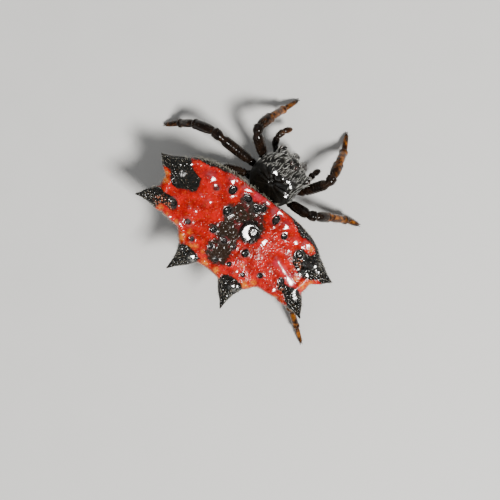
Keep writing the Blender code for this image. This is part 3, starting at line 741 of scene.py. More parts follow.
def makeAbdomen():
    d = abdomen
    points, quads, triangles, normals = fusedSkin(abdomenShell(), d["voxel"])
    x, y, z = points.T
    top = smoothStep(0.1, 0.6, normals[:, 2]) * smoothStep(3.75, 3.95, z)
    flat = points * (1, 1, 0)
    rise, pit, polish, pebbled = abdomenPits(x, y, 1 + softNoise(flat, *d["pitEdge"]))
    bumped, polished, pink = abdomenBumps(x, y)
    rise += pebbled * cellBumps(points, *d["pebbles"]) + bumped
    turned, gloss = turnedSpots(x, y, z + rise, top, d["spots"])
    polish = np.max([polish, polished, gloss], axis=0)
    look = abdomenMarks(points)
    spiny = smoothStep(-0.05, 0.15, look["black"])
    quiet = nearDiscs(x, y, d["quiet"], 1.1, 0.6)
    # leathery waves, folds toward the rim, rings on a spine, grains that stand out on the spines
    rise += turned + softNoise(flat, *d["waves"]) * top * (1 - spiny)
    rise += softNoise(points, *d["folds"]) * (1 - gloss)
    tipX, tipY, height, step = d["tipRings"]
    tip = np.hypot(x - tipX, y - tipY)
    rise += height * np.sin(tip * 2 * math.pi / step) * smoothStep(1.25, 0.9, tip) * smoothStep(0.1, 0.3, tip)
    grain = (1 - spiny) * cellBumps(points, *d["redGrain"])
    grain += spiny * (1 - 0.75 * quiet) * cellBumps(points, *d["spineGrain"])
    grain *= 1 - polish * (1 - 0.7 * spiny)
    grain += softNoise(points, *d["bellyFolds"]) * (1 - smoothStep(3.0, 3.5, z))
    move = normals * grain[:, None]
    move[:, 2] += rise * top
    shell = (points + move, quads, triangles)
    pebbly = np.maximum(spiny * (1 - 0.85 * quiet) * (1 - polish), 0.3 * smoothStep(0, 0.2, look["dusk"]))
    # the pink sheen is a painted highlight, from the bump tops and the discs
    look.update(pink=np.maximum(pink, look["pink"]) * top, speckle=look["speckle"] * top, pit=pit * top,
                polish=polish * top, pebbly=pebbly * smoothStep(3.4, 3.6, z))
    addPiece("abdomenSkin", shell, abdomenMaterial(), ["abdomen"], look)
    return shell


def abdomenMaterial():
    # Freckled red, then over it orange, a painted pink highlight sheen, dusk, pits, black with its grains,
    # and the belly.
    c = abdomenLook
    material, tree, shader, place = newMaterial("abdomenChitin", c["shine"])
    smooth = combined(tree, "MAXIMUM", attribute(tree, "polish"), attribute(tree, "pebbly"))
    inputs = {"Vector": place, "Mask": attribute(tree, "pebbly"), "Scale": c["pebbleScale"],
              "Rise": c["pebbleRise"]}
    pebbles = addNode(tree, "ShaderNodeGroup", inputs, node_tree=roundPebbles).outputs["Height"]
    mottle = grainOn(tree, shader, place, *c["grain"], smooth, pebbles)
    fine = noiseAt(tree, place, c["fineScale"], 3.0)
    edge = {mark: ragged(tree, place, mark, *values) for mark, values in c["edges"].items()}
    freckles = ramp(tree, cellsAt(tree, place, c["freckleScale"]), 0.3, 0.12, 0.0, 0.55)
    colour = mixed(tree, freckles, mixed(tree, mottle, c["deepRed"], c["brightRed"]), c["freckle"])
    warm = mixed(tree, ramp(tree, fine, 0.42, 0.62), c["orange"], c["yellow"])
    warm = mixed(tree, ramp(tree, attribute(tree, "orange"), 0.07, 0.17, 0.0, 0.8), warm, c["yellow"])
    colour = mixed(tree, combined(tree, "MULTIPLY", edge["orange"], 0.85), colour, warm)
    # painted highlight: the pink sheen laid over the red
    colour = mixed(tree, attribute(tree, "pink", 0.4), colour, c["pink"])
    dusky = mixed(tree, ramp(tree, mottle, 0.55, 1.0, 0.0, 0.8), c["dusk"], c["duskRed"])
    colour = mixed(tree, edge["dusk"], colour, dusky)
    brokenPit = combined(tree, "ADD", attribute(tree, "pit"), combined(tree, "MULTIPLY", fine, 0.4))
    colour = mixed(tree, ramp(tree, brokenPit, 0.3, 0.95), colour, c["pit"])
    dark = mixed(tree, ramp(tree, fine, 0.55, 0.7), c["black"], c["brown"])
    grains = ramp(tree, cellsAt(tree, place, c["speckleScale"]), 0.5, 0.2)
    dark = mixed(tree, combined(tree, "MULTIPLY", attribute(tree, "speckle"), grains), dark, c["speckle"])
    colour = mixed(tree, edge["black"], colour, dark)
    spotted = mixed(tree, ramp(tree, mottle, 0.8, 0.98, 0.0, 0.75), c["belly"], c["orange"])
    colour = mixed(tree, edge["belly"], colour, spotted)
    rough = ramp(tree, fine, 0.3, 0.7, 0.19, 0.33)
    rough = combined(tree, "MULTIPLY", rough, ramp(tree, smooth, 0.0, 1.0, 1.0, 0.65))
    paint(tree, shader, colour, rough, attribute(tree, "polish", 0.9))
    return material


abdomenSkin = makeAbdomen()
print("abdomen", len(abdomenSkin[0]), "points")


# Prosoma, in its own plan: a forward, b to the left

prosoma = {
    "place": (0.0, -4.14), "turn": math.radians(16), "edge": 2.42, "sides": 200, "voxel": 0.042,
    "outline": (
        (0.0, 1.58), (0.55, 1.58), (0.95, 1.52), (1.22, 1.3), (1.32, 0.95), (1.42, 0.45), (1.5, -0.05),
        (1.44, -0.55), (1.18, -1.02), (0.7, -1.36), (0.0, -1.48)),
    "sternum": (
        (0.0, 0.78), (0.42, 0.72), (0.64, 0.45), (0.7, 0.0), (0.66, -0.5), (0.5, -0.95), (0.25, -1.15),
        (0.0, -1.2)),
    # height of the crest along the body: a, z
    "crest": ((-1.48, 2.6), (-0.9, 2.78), (-0.2, 3.12), (0.5, 3.32), (1.1, 3.35), (1.6, 3.2)),
    # below the carapace: share of its outline, then of the sternum's, and height
    "edgeRows": ((1.0, 2.42), (0.985, 2.36), (0.95, 2.32)),
    "sternumRows": ((1.12, 2.3), (1.0, 2.1), (0.99, 1.85), (0.95, 1.7), (0.8, 1.57), (0.5, 1.51),
                    (0.15, 1.5)),
    "pedicel": (
        (-1.1, 0.0, 2.25, 0.25), (-1.6, -0.1, 2.36, 0.23), (-2.1, -0.22, 2.6, 0.24),
        (-2.75, -0.3, 3.1, 0.3)),
    # swellings: a, b, z, then their half sizes
    "swellings": (
        (1.28, 0.0, 3.03, 0.28, 0.38, 0.26), (1.32, 1.1, 2.76, 0.27, 0.27, 0.24),
        (1.32, -1.1, 2.76, 0.27, 0.27, 0.24)),
    # mouthparts below: maxillae and labium
    "mouth": (
        (0.98, 0.3, 1.5, 0.24, 0.34, 0.2), (0.98, -0.3, 1.5, 0.24, 0.34, 0.2),
        (0.78, 0.0, 1.48, 0.2, 0.2, 0.14)),
    # coxae of legs 1 to 4: a, b
    "coxae": ((0.42, 0.6), (-0.17, 0.62), (-0.72, 0.55), (-1.1, 0.3)), "coxaHeight": 1.72, "coxaEnd": 1.46,
    # stub at each coxa: radii, how far it reaches inside and outside of that place, its heights
    "stubRadii": (0.3, 0.31, 0.31, 0.3, 0.28, 0.25), "stubInside": 0.1, "stubOutside": 0.25,
    "stubHeights": (1.75, 1.73), "palpRoot": (0.78, 0.45, 1.55),
    # grooves of the carapace, mirrored: from, to (a, b), width, depth
    "grooves": (((-0.3, 0.0), (0.55, 0.95), 0.1, 0.07), ((-0.35, 0.1), (0.05, 1.15), 0.07, 0.03),
                ((-0.4, 0.1), (-0.5, 1.1), 0.07, 0.03), ((-0.45, 0.05), (-0.95, 0.7), 0.07, 0.03)),
    "fovea": (-0.35, 0.0, 0.16, 0.12),
    # small bumps in the animal's own plan: x, y, radius, rise
    "bumps": (
        (0.34, -4.44, 0.24, 0.09), (-0.3, -4.44, 0.2, 0.07), (-0.54, -4.42, 0.2, 0.07),
        (-0.74, -4.4, 0.22, 0.08), (-0.94, -4.29, 0.22, 0.08), (-1.0, -3.72, 0.22, 0.06),
        (-1.34, -3.74, 0.2, 0.06)),
    # small facets that catch the key light, in the same plan: x, y, radius
    "spots": (
        (0.27, -4.42, 0.13), (-0.32, -4.37, 0.07), (-0.58, -4.42, 0.09), (-0.76, -4.42, 0.09),
        (-0.94, -4.31, 0.09), (-1.04, -3.69, 0.1), (-1.4, -3.7, 0.06)),
    # eyes of one side: a, b, z, radius
    "eyes": (
        (1.5, 0.18, 3.03, 0.13), (1.27, 0.19, 3.25, 0.13), (1.52, 1.12, 2.84, 0.105),
        (1.35, 1.27, 2.88, 0.105)),
    # height, size, seed
    "waves": (0.012, 0.35, 21), "grains": (0.008, 0.13, 31),
}

prosomaLook = {
    "shine": {"Specular IOR Level": 0.35, "Coat Roughness": 0.14, "Coat IOR": 1.8},
    "grain": (18000, 9000, 0.5, 0.016),
    "black": (0.002, 0.002, 0.0017, 1), "brown": (0.006, 0.005, 0.0035, 1), "under": (0.035, 0.018, 0.01, 1),
    "eyeShine": {"Coat Weight": 1.0, "Coat Roughness": 0.02, "IOR": 1.45},
    "eyeDark": (0.004, 0.003, 0.003, 1), "eyeWarm": (0.03, 0.012, 0.008, 1),
}


def fromProsoma(a, b, z):
    # Place on the prosoma, forward and to its left, in the animal's own plan.
    cos, sin = math.cos(prosoma["turn"]), math.sin(prosoma["turn"])
    x = prosoma["place"][0] - np.asarray(a) * sin + np.asarray(b) * cos
    y = prosoma["place"][1] - np.asarray(a) * cos - np.asarray(b) * sin
    return np.stack(np.broadcast_arrays(x, y, z), axis=-1)


def toProsoma(points):
    # The other way: forward and left of the prosoma's middle.
    cos, sin = math.cos(prosoma["turn"]), math.sin(prosoma["turn"])
    x, y = points[:, 0] - prosoma["place"][0], points[:, 1] - prosoma["place"][1]
    return -x * sin - y * cos, x * cos - y * sin


def prosomaShell():
    # Carapace: the outline shrunk by a share, as high as an arch between edge and crest.
    # Sternum, swellings, pedicel, coxae and mouthparts overlap it.
    d = prosoma
    turn = fullTurn(d["sides"])
    cos, sin = np.cos(turn), np.sin(turn)
    wide, narrow = outlineReach(d["outline"], cos, sin), outlineReach(d["sternum"], cos, sin)
    crest = np.array(d["crest"])
    rings = []
    for share in np.concatenate([np.linspace(0.05, 0.9, 18), [0.94, 0.97, 0.99]]):
        top = smoothThrough(crest[:, 0], crest[:, 1], wide * share * sin)
        rings.append((wide * share, d["edge"] + (top - d["edge"]) * (1 - share ** 3.2) ** 0.75))
    for reach, rows in ((wide, d["edgeRows"]), (narrow, d["sternumRows"])):
        rings += [(reach * share, np.full(d["sides"], height)) for share, height in rows]
    shells = [shellFromRings([fromProsoma(r * sin, r * cos, z) for r, z in rings])]
    for a, b, z, *size in (*d["swellings"], *d["mouth"]):
        shells.append(ellipsoid(fromProsoma(a, b, z), size))
    rows = refined(d["pedicel"], 5)
    ripple = 1 + 0.06 * np.sin(np.arange(len(rows)) * 2.2)
    shells.append(shellFromRings(tubeRings(fromProsoma(*rows[:, :3].T), rows[:, 3] * ripple, 24)))
    for side in (1, -1):
        for a, b in d["coxae"]:
            start = fromProsoma(a * 0.9, side * (b - d["stubInside"]), d["stubHeights"][0])
            end = fromProsoma(a, side * (b + d["stubOutside"]), d["stubHeights"][1])
            line = np.linspace(start, end, len(d["stubRadii"]))
            shells.append(shellFromRings(tubeRings(line, np.array(d["stubRadii"]), 24)))
    return shells


def makeProsoma():
    d = prosoma
    points, quads, triangles, normals = fusedSkin(prosomaShell(), d["voxel"])
    x, y, z = points.T
    a, b = toProsoma(points)
    top = smoothStep(0.0, 0.5, normals[:, 2]) * smoothStep(2.4, 2.55, z)
    rise = softNoise(points, *d["waves"])
    for start, end, width, depth in d["grooves"]:
        for side in (1, -1):
            away = alongSegment(np.stack([a, side * b], axis=1), start, end)[1]
            rise -= depth * np.exp(-(away / width) ** 2)
    fa, fb, radius, depth = d["fovea"]
    rise -= depth * np.exp(-(((a - fa) / (0.6 * radius)) ** 2 + ((b - fb) / radius) ** 2))
    bare = np.exp(-((a + 0.45) / 0.85) ** 4 - (b / 0.95) ** 4)
    shine = 0.25 * bare
    for px, py, radius, height in d["bumps"]:
        bump = bell(x, y, px, py, radius)
        rise += height * bump
        shine = np.maximum(shine, smoothStep(0.2, 0.5, bump))
    turned, gloss = turnedSpots(x, y, z + rise * normals[:, 2], top, d["spots"])
    shine = np.maximum(shine, gloss) * top
    bare = np.maximum(bare * top, shine)
    move = normals * (rise * top + cellBumps(points, *d["grains"]) * (1 - bare))[:, None]
    move[:, 2] += turned * top
    shell = (points + move, quads, triangles)
    look = {"bare": bare, "shine": shine, "under": smoothStep(2.35, 2.1, z)}
    addPiece("prosomaSkin", shell, prosomaMaterial(), ["prosoma"], look)
    return shell


def prosomaMaterial():
    c = prosomaLook
    material, tree, shader, place = newMaterial("prosomaChitin", c["shine"])
    mottle = grainOn(tree, shader, place, *c["grain"], attribute(tree, "bare"))
    colour = mixed(tree, mottle, c["black"], c["brown"])
    colour = mixed(tree, attribute(tree, "under", 0.7), colour, c["under"])
    rough = ramp(tree, attribute(tree, "bare"), 0.0, 1.0, 0.34, 0.2)
    paint(tree, shader, colour, rough, attribute(tree, "shine", 0.9))
    return material


prosomaSkin = makeProsoma()
print("prosoma", len(prosomaSkin[0]), "points")


def makeEyes():
    c = prosomaLook
    material, tree, shader, place = newMaterial("eyeLens", c["eyeShine"])
    noise = noiseAt(tree, place, 6000.0)
    colour = mixed(tree, ramp(tree, noise, 0.35, 0.65), c["eyeDark"], c["eyeWarm"])
    paint(tree, shader, colour, ramp(tree, noise, 0.3, 0.7, 0.04, 0.1))
    for side, word in ((1, "Left"), (-1, "Right")):
        for number, (a, b, z, radius) in enumerate(prosoma["eyes"], 1):
            shell = ellipsoid(fromProsoma(a, side * b, z), np.full(3, radius), 18, 28)
            addPiece(f"eye{word}{number}", shell, material)


makeEyes()


# Chelicerae and fangs

chelicera = {
    # root to tip, on the prosoma: a, b, z, radius
    "base": (
        (1.3, 0.33, 2.5, 0.18), (1.45, 0.35, 2.3, 0.22), (1.55, 0.36, 2.05, 0.27),
        (1.64, 0.37, 1.75, 0.3), (1.66, 0.37, 1.4, 0.29), (1.6, 0.36, 1.12, 0.24),
        (1.52, 0.34, 0.96, 0.13)),
    "fang": (
        (1.55, 0.34, 1.1, 0.12), (1.52, 0.31, 0.88, 0.1), (1.42, 0.24, 0.74, 0.065),
        (1.3, 0.2, 0.75, 0.02)),
    # finishes: shine, then grain scale, pebble scale, share of pebbles and depth, then the dark
    # and the warm colour, and the roughness
    "skin": ({"Coat Weight": 0.15, "Coat Roughness": 0.12, "Specular IOR Level": 0.4},
             (14000, 7000, 0.5, 0.01), (0.003, 0.0025, 0.002, 1), (0.009, 0.005, 0.003, 1), (0.16, 0.3)),
    "horn": ({"Coat Weight": 0.5, "Coat Roughness": 0.08}, (12000, 9000, 0.1, 0.004),
             (0.02, 0.006, 0.003, 1), (0.2, 0.03, 0.01, 1), (0.15, 0.3)),
}


def makeChelicerae():
    # Gives the kind, side, middle line and rings of each, for its hairs.
    c = chelicera
    skin, horn = hornMaterial("cheliceraChitin", *c["skin"]), hornMaterial("fangHorn", *c["horn"])
    made = []
    for side, word in ((1, "Left"), (-1, "Right")):
        for part, piece, material in (("base", "chelicera", skin), ("fang", "fang", horn)):
            rows = refined(np.array(c[part]) * (1, side, 1, 1), 7)
            line = fromProsoma(*rows[:, :3].T)
            rings = tubeRings(line, rows[:, 3], 32)
            nodes = ["chelicera_" + word.lower()] if part == "base" else []
            addPiece(piece + word, shellFromRings(rings), material, nodes)
            if part == "base":
                made.append(("chelicera", word, line, rings))
    return made


cheliceraLines = makeChelicerae()


# Legs and palps

limbs = {
    # what swings the coxa (degrees), then joints beyond the trochanter, knee to foot
    "legs": {
        "left_1": (-14, (2.47, -5.58, 3.1), (2.6, -6.03, 3.0), (2.41, -6.85, 2.2), (2.1, -7.83, 0.75),
            (1.81, -8.7, 0.0)),
        "left_2": (-16, (3.94, -4.14, 2.8), (4.54, -4.2, 2.75), (5.78, -3.89, 1.7), (6.55, -3.4, 0.6),
            (7.15, -2.89, 0.0)),
        "left_3": (-26, (2.88, -2.8, 2.25), (3.36, -2.48, 2.15), (4.15, -1.8, 1.2), (4.5, -1.4, 0.45),
            (4.72, -1.0, 0.0)),
        "left_4": (-58, (3.3, -0.75, 2.0), (3.55, -0.05, 1.95), (3.15, 1.1, 1.15), (2.35, 1.6, 0.42),
            (1.75, 2.1, 0.0)),
        "right_1": (16, (-2.54, -5.77, 2.75), (-2.52, -6.26, 2.7), (-2.34, -7.07, 1.95),
            (-2.14, -7.96, 0.75), (-1.66, -8.87, 0.0)),
        "right_2": (-2, (-2.7, -3.64, 2.9), (-3.15, -3.84, 2.85), (-3.72, -4.26, 2.0),
            (-4.75, -4.85, 0.6), (-5.44, -5.04, 0.0)),
        "right_3": (-26, (-2.55, -2.66, 2.2), (-3.05, -2.46, 2.1), (-3.9, -2.05, 1.2),
            (-4.3, -1.8, 0.45), (-4.6, -1.5, 0.0)),
        "right_4": (-62, (-3.35, -0.55, 2.0), (-3.95, -0.05, 1.95), (-5.35, 1.37, 1.25),
            (-6.2, 1.96, 0.45), (-6.92, 2.5, 0.0)),
    },
    # radius along a leg: joint number and share of the way on, then millimetres
    "legSection": (
        (0.0, 0.24), (0.5, 0.27), (0.85, 0.25), (0.98, 0.19), (1.04, 0.2), (1.1, 0.25), (1.16, 0.22),
        (1.24, 0.27), (1.4, 0.3), (1.65, 0.31), (1.88, 0.29), (1.975, 0.21), (2.06, 0.24), (2.25, 0.29),
        (2.6, 0.3), (2.9, 0.27), (2.97, 0.2), (3.05, 0.23), (3.2, 0.28), (3.5, 0.31), (3.8, 0.3),
        (3.95, 0.27), (3.985, 0.19), (4.03, 0.21), (4.12, 0.25), (4.4, 0.27), (4.7, 0.25), (4.93, 0.25),
        (4.975, 0.17), (5.05, 0.18), (5.2, 0.19), (5.5, 0.18), (5.8, 0.15), (5.93, 0.12), (6.0, 0.07)),
    # thickness beyond the tibia, as a share of that
    "slim": {"right_4": 0.7, "left_1": 0.86, "left_4": 0.8}, "slimElse": 0.9, "palpSlim": 0.86,
    # height of the fine rings round the femur
    "femurRings": {"right_1": 0.011}, "femurRingsElse": 0.0025,
    "footLift": 0.09, "legSides": 28, "legRows": 230, "palpSides": 24, "palpRows": 130,
    "palps": {
        "left": ((1.3, -5.77, 1.45), (1.45, -6.22, 1.6), (1.34, -6.7, 1.5), (1.02, -7.12, 1.2)),
        "right": ((-1.32, -5.12, 1.38), (-1.5, -5.36, 1.5), (-1.55, -5.75, 1.5), (-1.7, -6.18, 1.25)),
    },
    "palpSection": (
        (0.0, 0.2), (0.7, 0.22), (0.96, 0.17), (1.05, 0.19), (1.4, 0.23), (1.8, 0.22), (1.97, 0.16),
        (2.08, 0.19), (2.5, 0.23), (2.85, 0.22), (2.97, 0.16), (3.08, 0.18), (3.4, 0.21), (3.7, 0.17),
        (3.9, 0.11), (4.0, 0.04)),
    # how amber each leg is: femur, patella, tibia, metatarsus's base and end, tarsus
    "amber": {
        "left_1": (0.0, 0.05, 0.25, 0.65, 0.75, 0.45), "left_2": (0.0, 0.05, 0.1, 0.2, 0.2, 0.4),
        "left_3": (0.05, 0.1, 0.25, 0.5, 0.3, 0.7), "left_4": (0.05, 0.1, 0.25, 0.5, 0.3, 0.7),
        "right_1": (0.05, 0.1, 0.4, 0.75, 0.8, 0.85), "right_2": (0.0, 0.02, 0.1, 1.0, 0.4, 0.85),
        "right_3": (0.05, 0.1, 0.25, 0.5, 0.3, 0.7), "right_4": (0.05, 0.15, 0.3, 0.6, 0.6, 0.95),
    },
    "amberStations": (1.0, 1.5, 2.5, 3.5, 4.15, 4.8, 5.3, 6.0), "amberTip": 0.25, "amberJoint": 0.25,
    # the same of the palps at their joints, and the share of it that the right palp has
    "palpAmber": (0.0, 0.1, 0.3, 0.4), "palpStations": (0.0, 2.0, 3.0, 4.0), "rightPalp": 0.4,
    "shine": {"Coat Weight": 0.08, "Coat Roughness": 0.1, "Specular IOR Level": 0.3, "IOR": 1.35},
    "grain": (15000, 10000, 0.35, 0.004), "streakScale": 3500.0,
    "dark": (0.004, 0.003, 0.0025, 1), "warm": (0.014, 0.007, 0.004, 1),
    "amberDark": (0.025, 0.007, 0.002, 1), "amberLight": (0.27, 0.085, 0.008, 1),
}


def alongJoints(joints, section, rows, reach):
    # Points on a jointed line, its corners rounded by averaging over a short reach, the radius
    # at each, a smooth curve through the section, and the station number.
    joints = np.asarray(joints, float)
    length = np.concatenate([[0], np.cumsum(np.linalg.norm(np.diff(joints, axis=0), axis=1))])
    stations, radii = np.array(section).T
    at = np.interp(stations, np.arange(len(joints)), length)
    place = np.linspace(0, length[-1], rows)
    half = np.minimum(reach, np.minimum(place, length[-1] - place))
    samples = place[:, None] + half[:, None] * np.linspace(-1, 1, 13)
    line = np.stack([np.interp(samples, length, joints[:, k]).mean(axis=1) for k in range(3)], axis=1)
    return line, smoothThrough(at, radii, place), np.interp(place, length, np.arange(len(joints)))


def limbMaterial():
    # Nearly black, with streaks of amber where the leg's own share of it is high.
    d = limbs
    material, tree, shader, place = newMaterial("limbChitin", d["shine"])
    mottle = grainOn(tree, shader, place, *d["grain"])
    streak = noiseAt(tree, place, d["streakScale"], 3.0)
    amber = mixed(tree, ramp(tree, streak, 0.38, 0.66), d["amberDark"], d["amberLight"])
    share = combined(tree, "ADD", attribute(tree, "amber"), combined(tree, "MULTIPLY", streak, 0.5))
    colour = mixed(tree, ramp(tree, share, 0.35, 1.15), mixed(tree, mottle, d["dark"], d["warm"]), amber)
    paint(tree, shader, colour, ramp(tree, mottle, 0.0, 1.0, 0.12, 0.22))
    return material


def addLimb(kind, name, word, rings, amount, material):
    # The limb's skin, with how amber it is at each ring.
    amber = np.concatenate([np.repeat(amount, rings.shape[1]), amount[[0, -1]]])
    addPiece(kind + "Skin" + word, shellFromRings(rings), material, [kind + "_" + name],
             {"amber": amber})


def legJoints(name):
    # The coxa turns about its place on the prosoma, and the foot stands on the floor.
    d = prosoma
    side, number = (1 if name.startswith("left") else -1), int(name[-1])
    swing, *joints = limbs["legs"][name]
    a, b = d["coxae"][number - 1]
    reach, way = d["coxaEnd"] - b, math.radians(swing)
    root = fromProsoma(a, side * b, d["coxaHeight"])
    end = fromProsoma(a + reach * math.sin(way), side * (b + reach * math.cos(way)), d["coxaHeight"])
    foot = np.array(joints[-1]) + (0, 0, limbs["footLift"])
    return np.array([root, end, *joints[:-1], foot])


def makeLegs(material):
    d = limbs
    made = []
    for name in d["legs"]:
        line, radii, station = alongJoints(legJoints(name), d["legSection"], d["legRows"], 0.15)
        # fine rings round the femur
        inFemur = smoothStep(1.2, 1.35, station) * smoothStep(1.95, 1.8, station)
        height = d["femurRings"].get(name, d["femurRingsElse"])
        radii = radii + inFemur * height * np.sin(np.arange(len(radii)) * 1.05)
        radii *= 1 - (1 - d["slim"].get(name, d["slimElse"])) * smoothStep(3.9, 4.1, station)
        rings = tubeRings(line, radii, d["legSides"])
        rings[..., 2] = np.maximum(rings[..., 2], 0.0)
        amount = np.interp(station, d["amberStations"], (0.0, *d["amber"][name], d["amberTip"]))
        joint = np.min([np.abs(station - k) for k in (2.0, 3.0, 4.0, 5.0)], axis=0)
        amount = amount * smoothStep(0.0, 0.07, joint) + d["amberJoint"] * smoothStep(0.05, 0.0, joint)
        word = name.replace("_", "").capitalize()
        addLimb("leg", name, word, rings, amount, material)
        made.append(("leg", word, line, rings))
    return made


def makePalps(material):
    d = limbs
    made = []
    for name, joints in d["palps"].items():
        side = 1 if name == "left" else -1
        a, b, z = prosoma["palpRoot"]
        root = fromProsoma(a, side * b, z)
        line, radii, station = alongJoints([root, *joints], d["palpSection"], d["palpRows"], 0.12)
        radii = radii * (1 - (1 - d["palpSlim"]) * smoothStep(1.0, 1.6, station))
        rings = tubeRings(line, radii, d["palpSides"])
        amount = np.interp(station, d["palpStations"], d["palpAmber"]) * (1 if side > 0 else d["rightPalp"])
        addLimb("palp", name, name.capitalize(), rings, amount, material)
        made.append(("palp", name.capitalize(), line, rings))
    return made


chitin = limbMaterial()
legLines = makeLegs(chitin)
palpLines = makePalps(chitin)
print("limbs", len(legLines) + len(palpLines))

claw = {
    # as for the chelicerae, then the size and course of a claw beyond the foot's tip
    "finish": ({"Coat Weight": 0.4, "Coat Roughness": 0.1}, (15000, 9000, 0.1, 0.004),
               (0.01, 0.006, 0.004, 1), (0.06, 0.025, 0.01, 1), (0.2, 0.35)),
    "back": 0.06, "length": 0.2, "apart": 0.02, "spread": 0.05, "height": 0.08, "arch": 0.05, "drop": 0.05,
    "radius": 0.032, "point": 0.006,
}


def makeClaws():
    # Two curved cones at each foot: forward, apart, and in an arch down to the floor.
    d = claw
    t = np.linspace(0, 1, 9)
    shells = []
    for _, _, line, _ in legLines:
        ahead = line[-1] - line[-20]
        ahead = ahead * (1, 1, 0) / np.hypot(ahead[0], ahead[1])
        side = np.array([-ahead[1], ahead[0], 0])
        for way in (-1, 1):
            path = line[-1] - d["back"] * ahead + np.outer(t * d["length"], ahead)
            path += np.outer(way * (d["apart"] + d["spread"] * t), side)
            path[:, 2] = d["height"] + d["arch"] * np.sin(t * math.pi) - d["drop"] * t ** 2
            shells.append(shellFromRings(tubeRings(path, d["radius"] * (1 - t) ** 0.8 + d["point"], 10)))
    addPiece("claws", joined(shells), hornMaterial("clawHorn", *d["finish"]))


makeClaws()


# Setae: each is a thin curved cone of three sides

limbHair = ((0.1, 0.24), (0.014, 0.022), (0.5, 1.1), (0.0, 0.5))
setae = {
    # how many, then the least and the most of length and width, and of lift and curl in radians
    "head": (310, ((0.26, 0.46), (0.017, 0.025), (0.8, 1.2), (1.1, 1.9))),
    "abdomen": (1300, ((0.1, 0.3), (0.016, 0.026), (0.7, 1.4), (0.2, 1.0))),
    "leg": (170, limbHair), "palp": (90, limbHair), "chelicera": (70, limbHair),
    # unevenness of the combing, and how much the abdomen's short hairs outnumber its long ones
    "headScatter": 0.22, "abdomenScatter": 0.5, "abdomenShort": 2, "clearOfFloor": 0.1,
    "whiteRoot": (0.07, 0.07, 0.06, 1), "whiteTip": (0.95, 0.95, 0.88, 1),
    "paleRoot": (0.1, 0.09, 0.06, 1), "paleTip": (0.55, 0.52, 0.42, 1),
    "darkRoot": (0.01, 0.008, 0.006, 1), "darkTip": (0.16, 0.13, 0.09, 1),
    "sunk": 0.02, "patch": 0.003, "seed": 7,
}


def makeSetae(name, roots, normal, combed, length, width, lift, curl, uv, material, slot):
    # A hair leaves at the lift angle above the comb direction and bends back by the curl angle
    # over its length. Its root starts sunk in the skin, and its patch on the OFBake map lies at
    # its root's place there.
    rows, sides = 4, 3
    count = len(roots)
    combed = combed - normal * np.einsum("ij,ij->i", combed, normal)[:, None]
    combed /= np.maximum(np.linalg.norm(combed, axis=1), 1e-9)[:, None]
    across = np.cross(combed, normal)
    angle = lift[:, None] - curl[:, None] * np.linspace(0, 1, rows + 1)
    step = length[:, None] / rows
    cos, sin = np.cos(angle), np.sin(angle)
    forward = np.cumsum(np.concatenate([np.zeros((count, 1)), step * cos[:, 1:]], axis=1), axis=1)
    rise = np.cumsum(np.concatenate([np.full((count, 1), -setae["sunk"]), step * sin[:, 1:]], axis=1), axis=1)
    path = roots[:, None] + forward[..., None] * combed[:, None] + rise[..., None] * normal[:, None]
    square = -sin[..., None] * combed[:, None] + cos[..., None] * normal[:, None]
    turn = fullTurn(sides)
    radius = (width[:, None] / 2) * (1 - np.linspace(0, 1, rows + 1)) ** 0.6
    ring = np.cos(turn)[:, None] * across[:, None, None] + np.sin(turn)[:, None] * square[:, :, None]
    rings = path[:, :-1, None] + radius[:, :-1, None, None] * ring[:, :-1]
    points = np.concatenate([rings.reshape(count, -1, 3), path[:, -1:]], axis=1).reshape(-1, 3)
    last = (rows - 1) * sides
    tips = [(last + k, last + (k + 1) % sides, rows * sides) for k in range(sides)]
    triangles = np.array([*tips, (2, 1, 0)])
    start = (np.arange(count) * (rows * sides + 1))[:, None, None]
    quads = (gridQuads(rows, sides) + start).reshape(-1, 4)
    shell = outward((points, quads, (triangles + start).reshape(-1, 3)))
    share = np.arange(rows) / rows
    local = np.stack([np.repeat(share, sides), np.tile(np.arange(sides) / sides, rows)], axis=1)
    local = np.concatenate([local, [[1.0, 0.5]]])
    patch = (uv[:, None] + setae["patch"] * (local - 0.5)).reshape(-1, 2)
    along = np.tile(np.append(np.repeat(share, sides), 1.0), count)
    addPiece(name, shell, material, (), {"along": along}, patch)


def hairMaterial(kind, rough):
    # Darker at the root, paler to the tip, with a little change from hair to hair.
    material, tree, shader, place = newMaterial(kind + "Seta", {"IOR": 1.5})
    noise = noiseAt(tree, place, 2500.0)
    share = combined(tree, "ADD", attribute(tree, "along"), combined(tree, "SUBTRACT", noise, 0.5))
    colour = mixed(tree, ramp(tree, share, 0.0, 0.8), setae[kind + "Root"], setae[kind + "Tip"])
    paint(tree, shader, colour, ramp(tree, noise, 0.3, 0.7, rough - 0.08, rough + 0.08))
    return material


def rootsOn(shell, count, weight):
    # Random places on a skin of quads, as likely as the area times the weight, and their normals.
    points, quads, _ = shell
    corner = points[quads]
    normal = np.cross(corner[:, 2] - corner[:, 0], corner[:, 3] - corner[:, 1])
    size = np.linalg.norm(normal, axis=1)
    normal /= np.maximum(size, 1e-12)[:, None]
    chance = size * weight(corner.mean(axis=1))
    pick = rng.choice(len(quads), count, p=chance / chance.sum())
    u, v = rng.random((2, count, 1))
    c = corner[pick]
    place = (c[:, 0] * (1 - u) + c[:, 1] * u) * (1 - v) + (c[:, 3] * (1 - u) + c[:, 2] * u) * v
    return place, normal[pick]


def drawn(count, ranges, power=1):
    # Length, width, lift and curl of each hair, at random. Over one, the power favours short ones.
    (least, most), *others = ranges
    length = least + (most - least) * rng.random(count) ** power
    return [length, *(rng.uniform(low, high, count) for low, high in others)]


rng = np.random.default_rng(setae["seed"])
whiteHair = hairMaterial("white", 0.35)
paleHair = hairMaterial("pale", 0.35)
darkHair = hairMaterial("dark", 0.4)


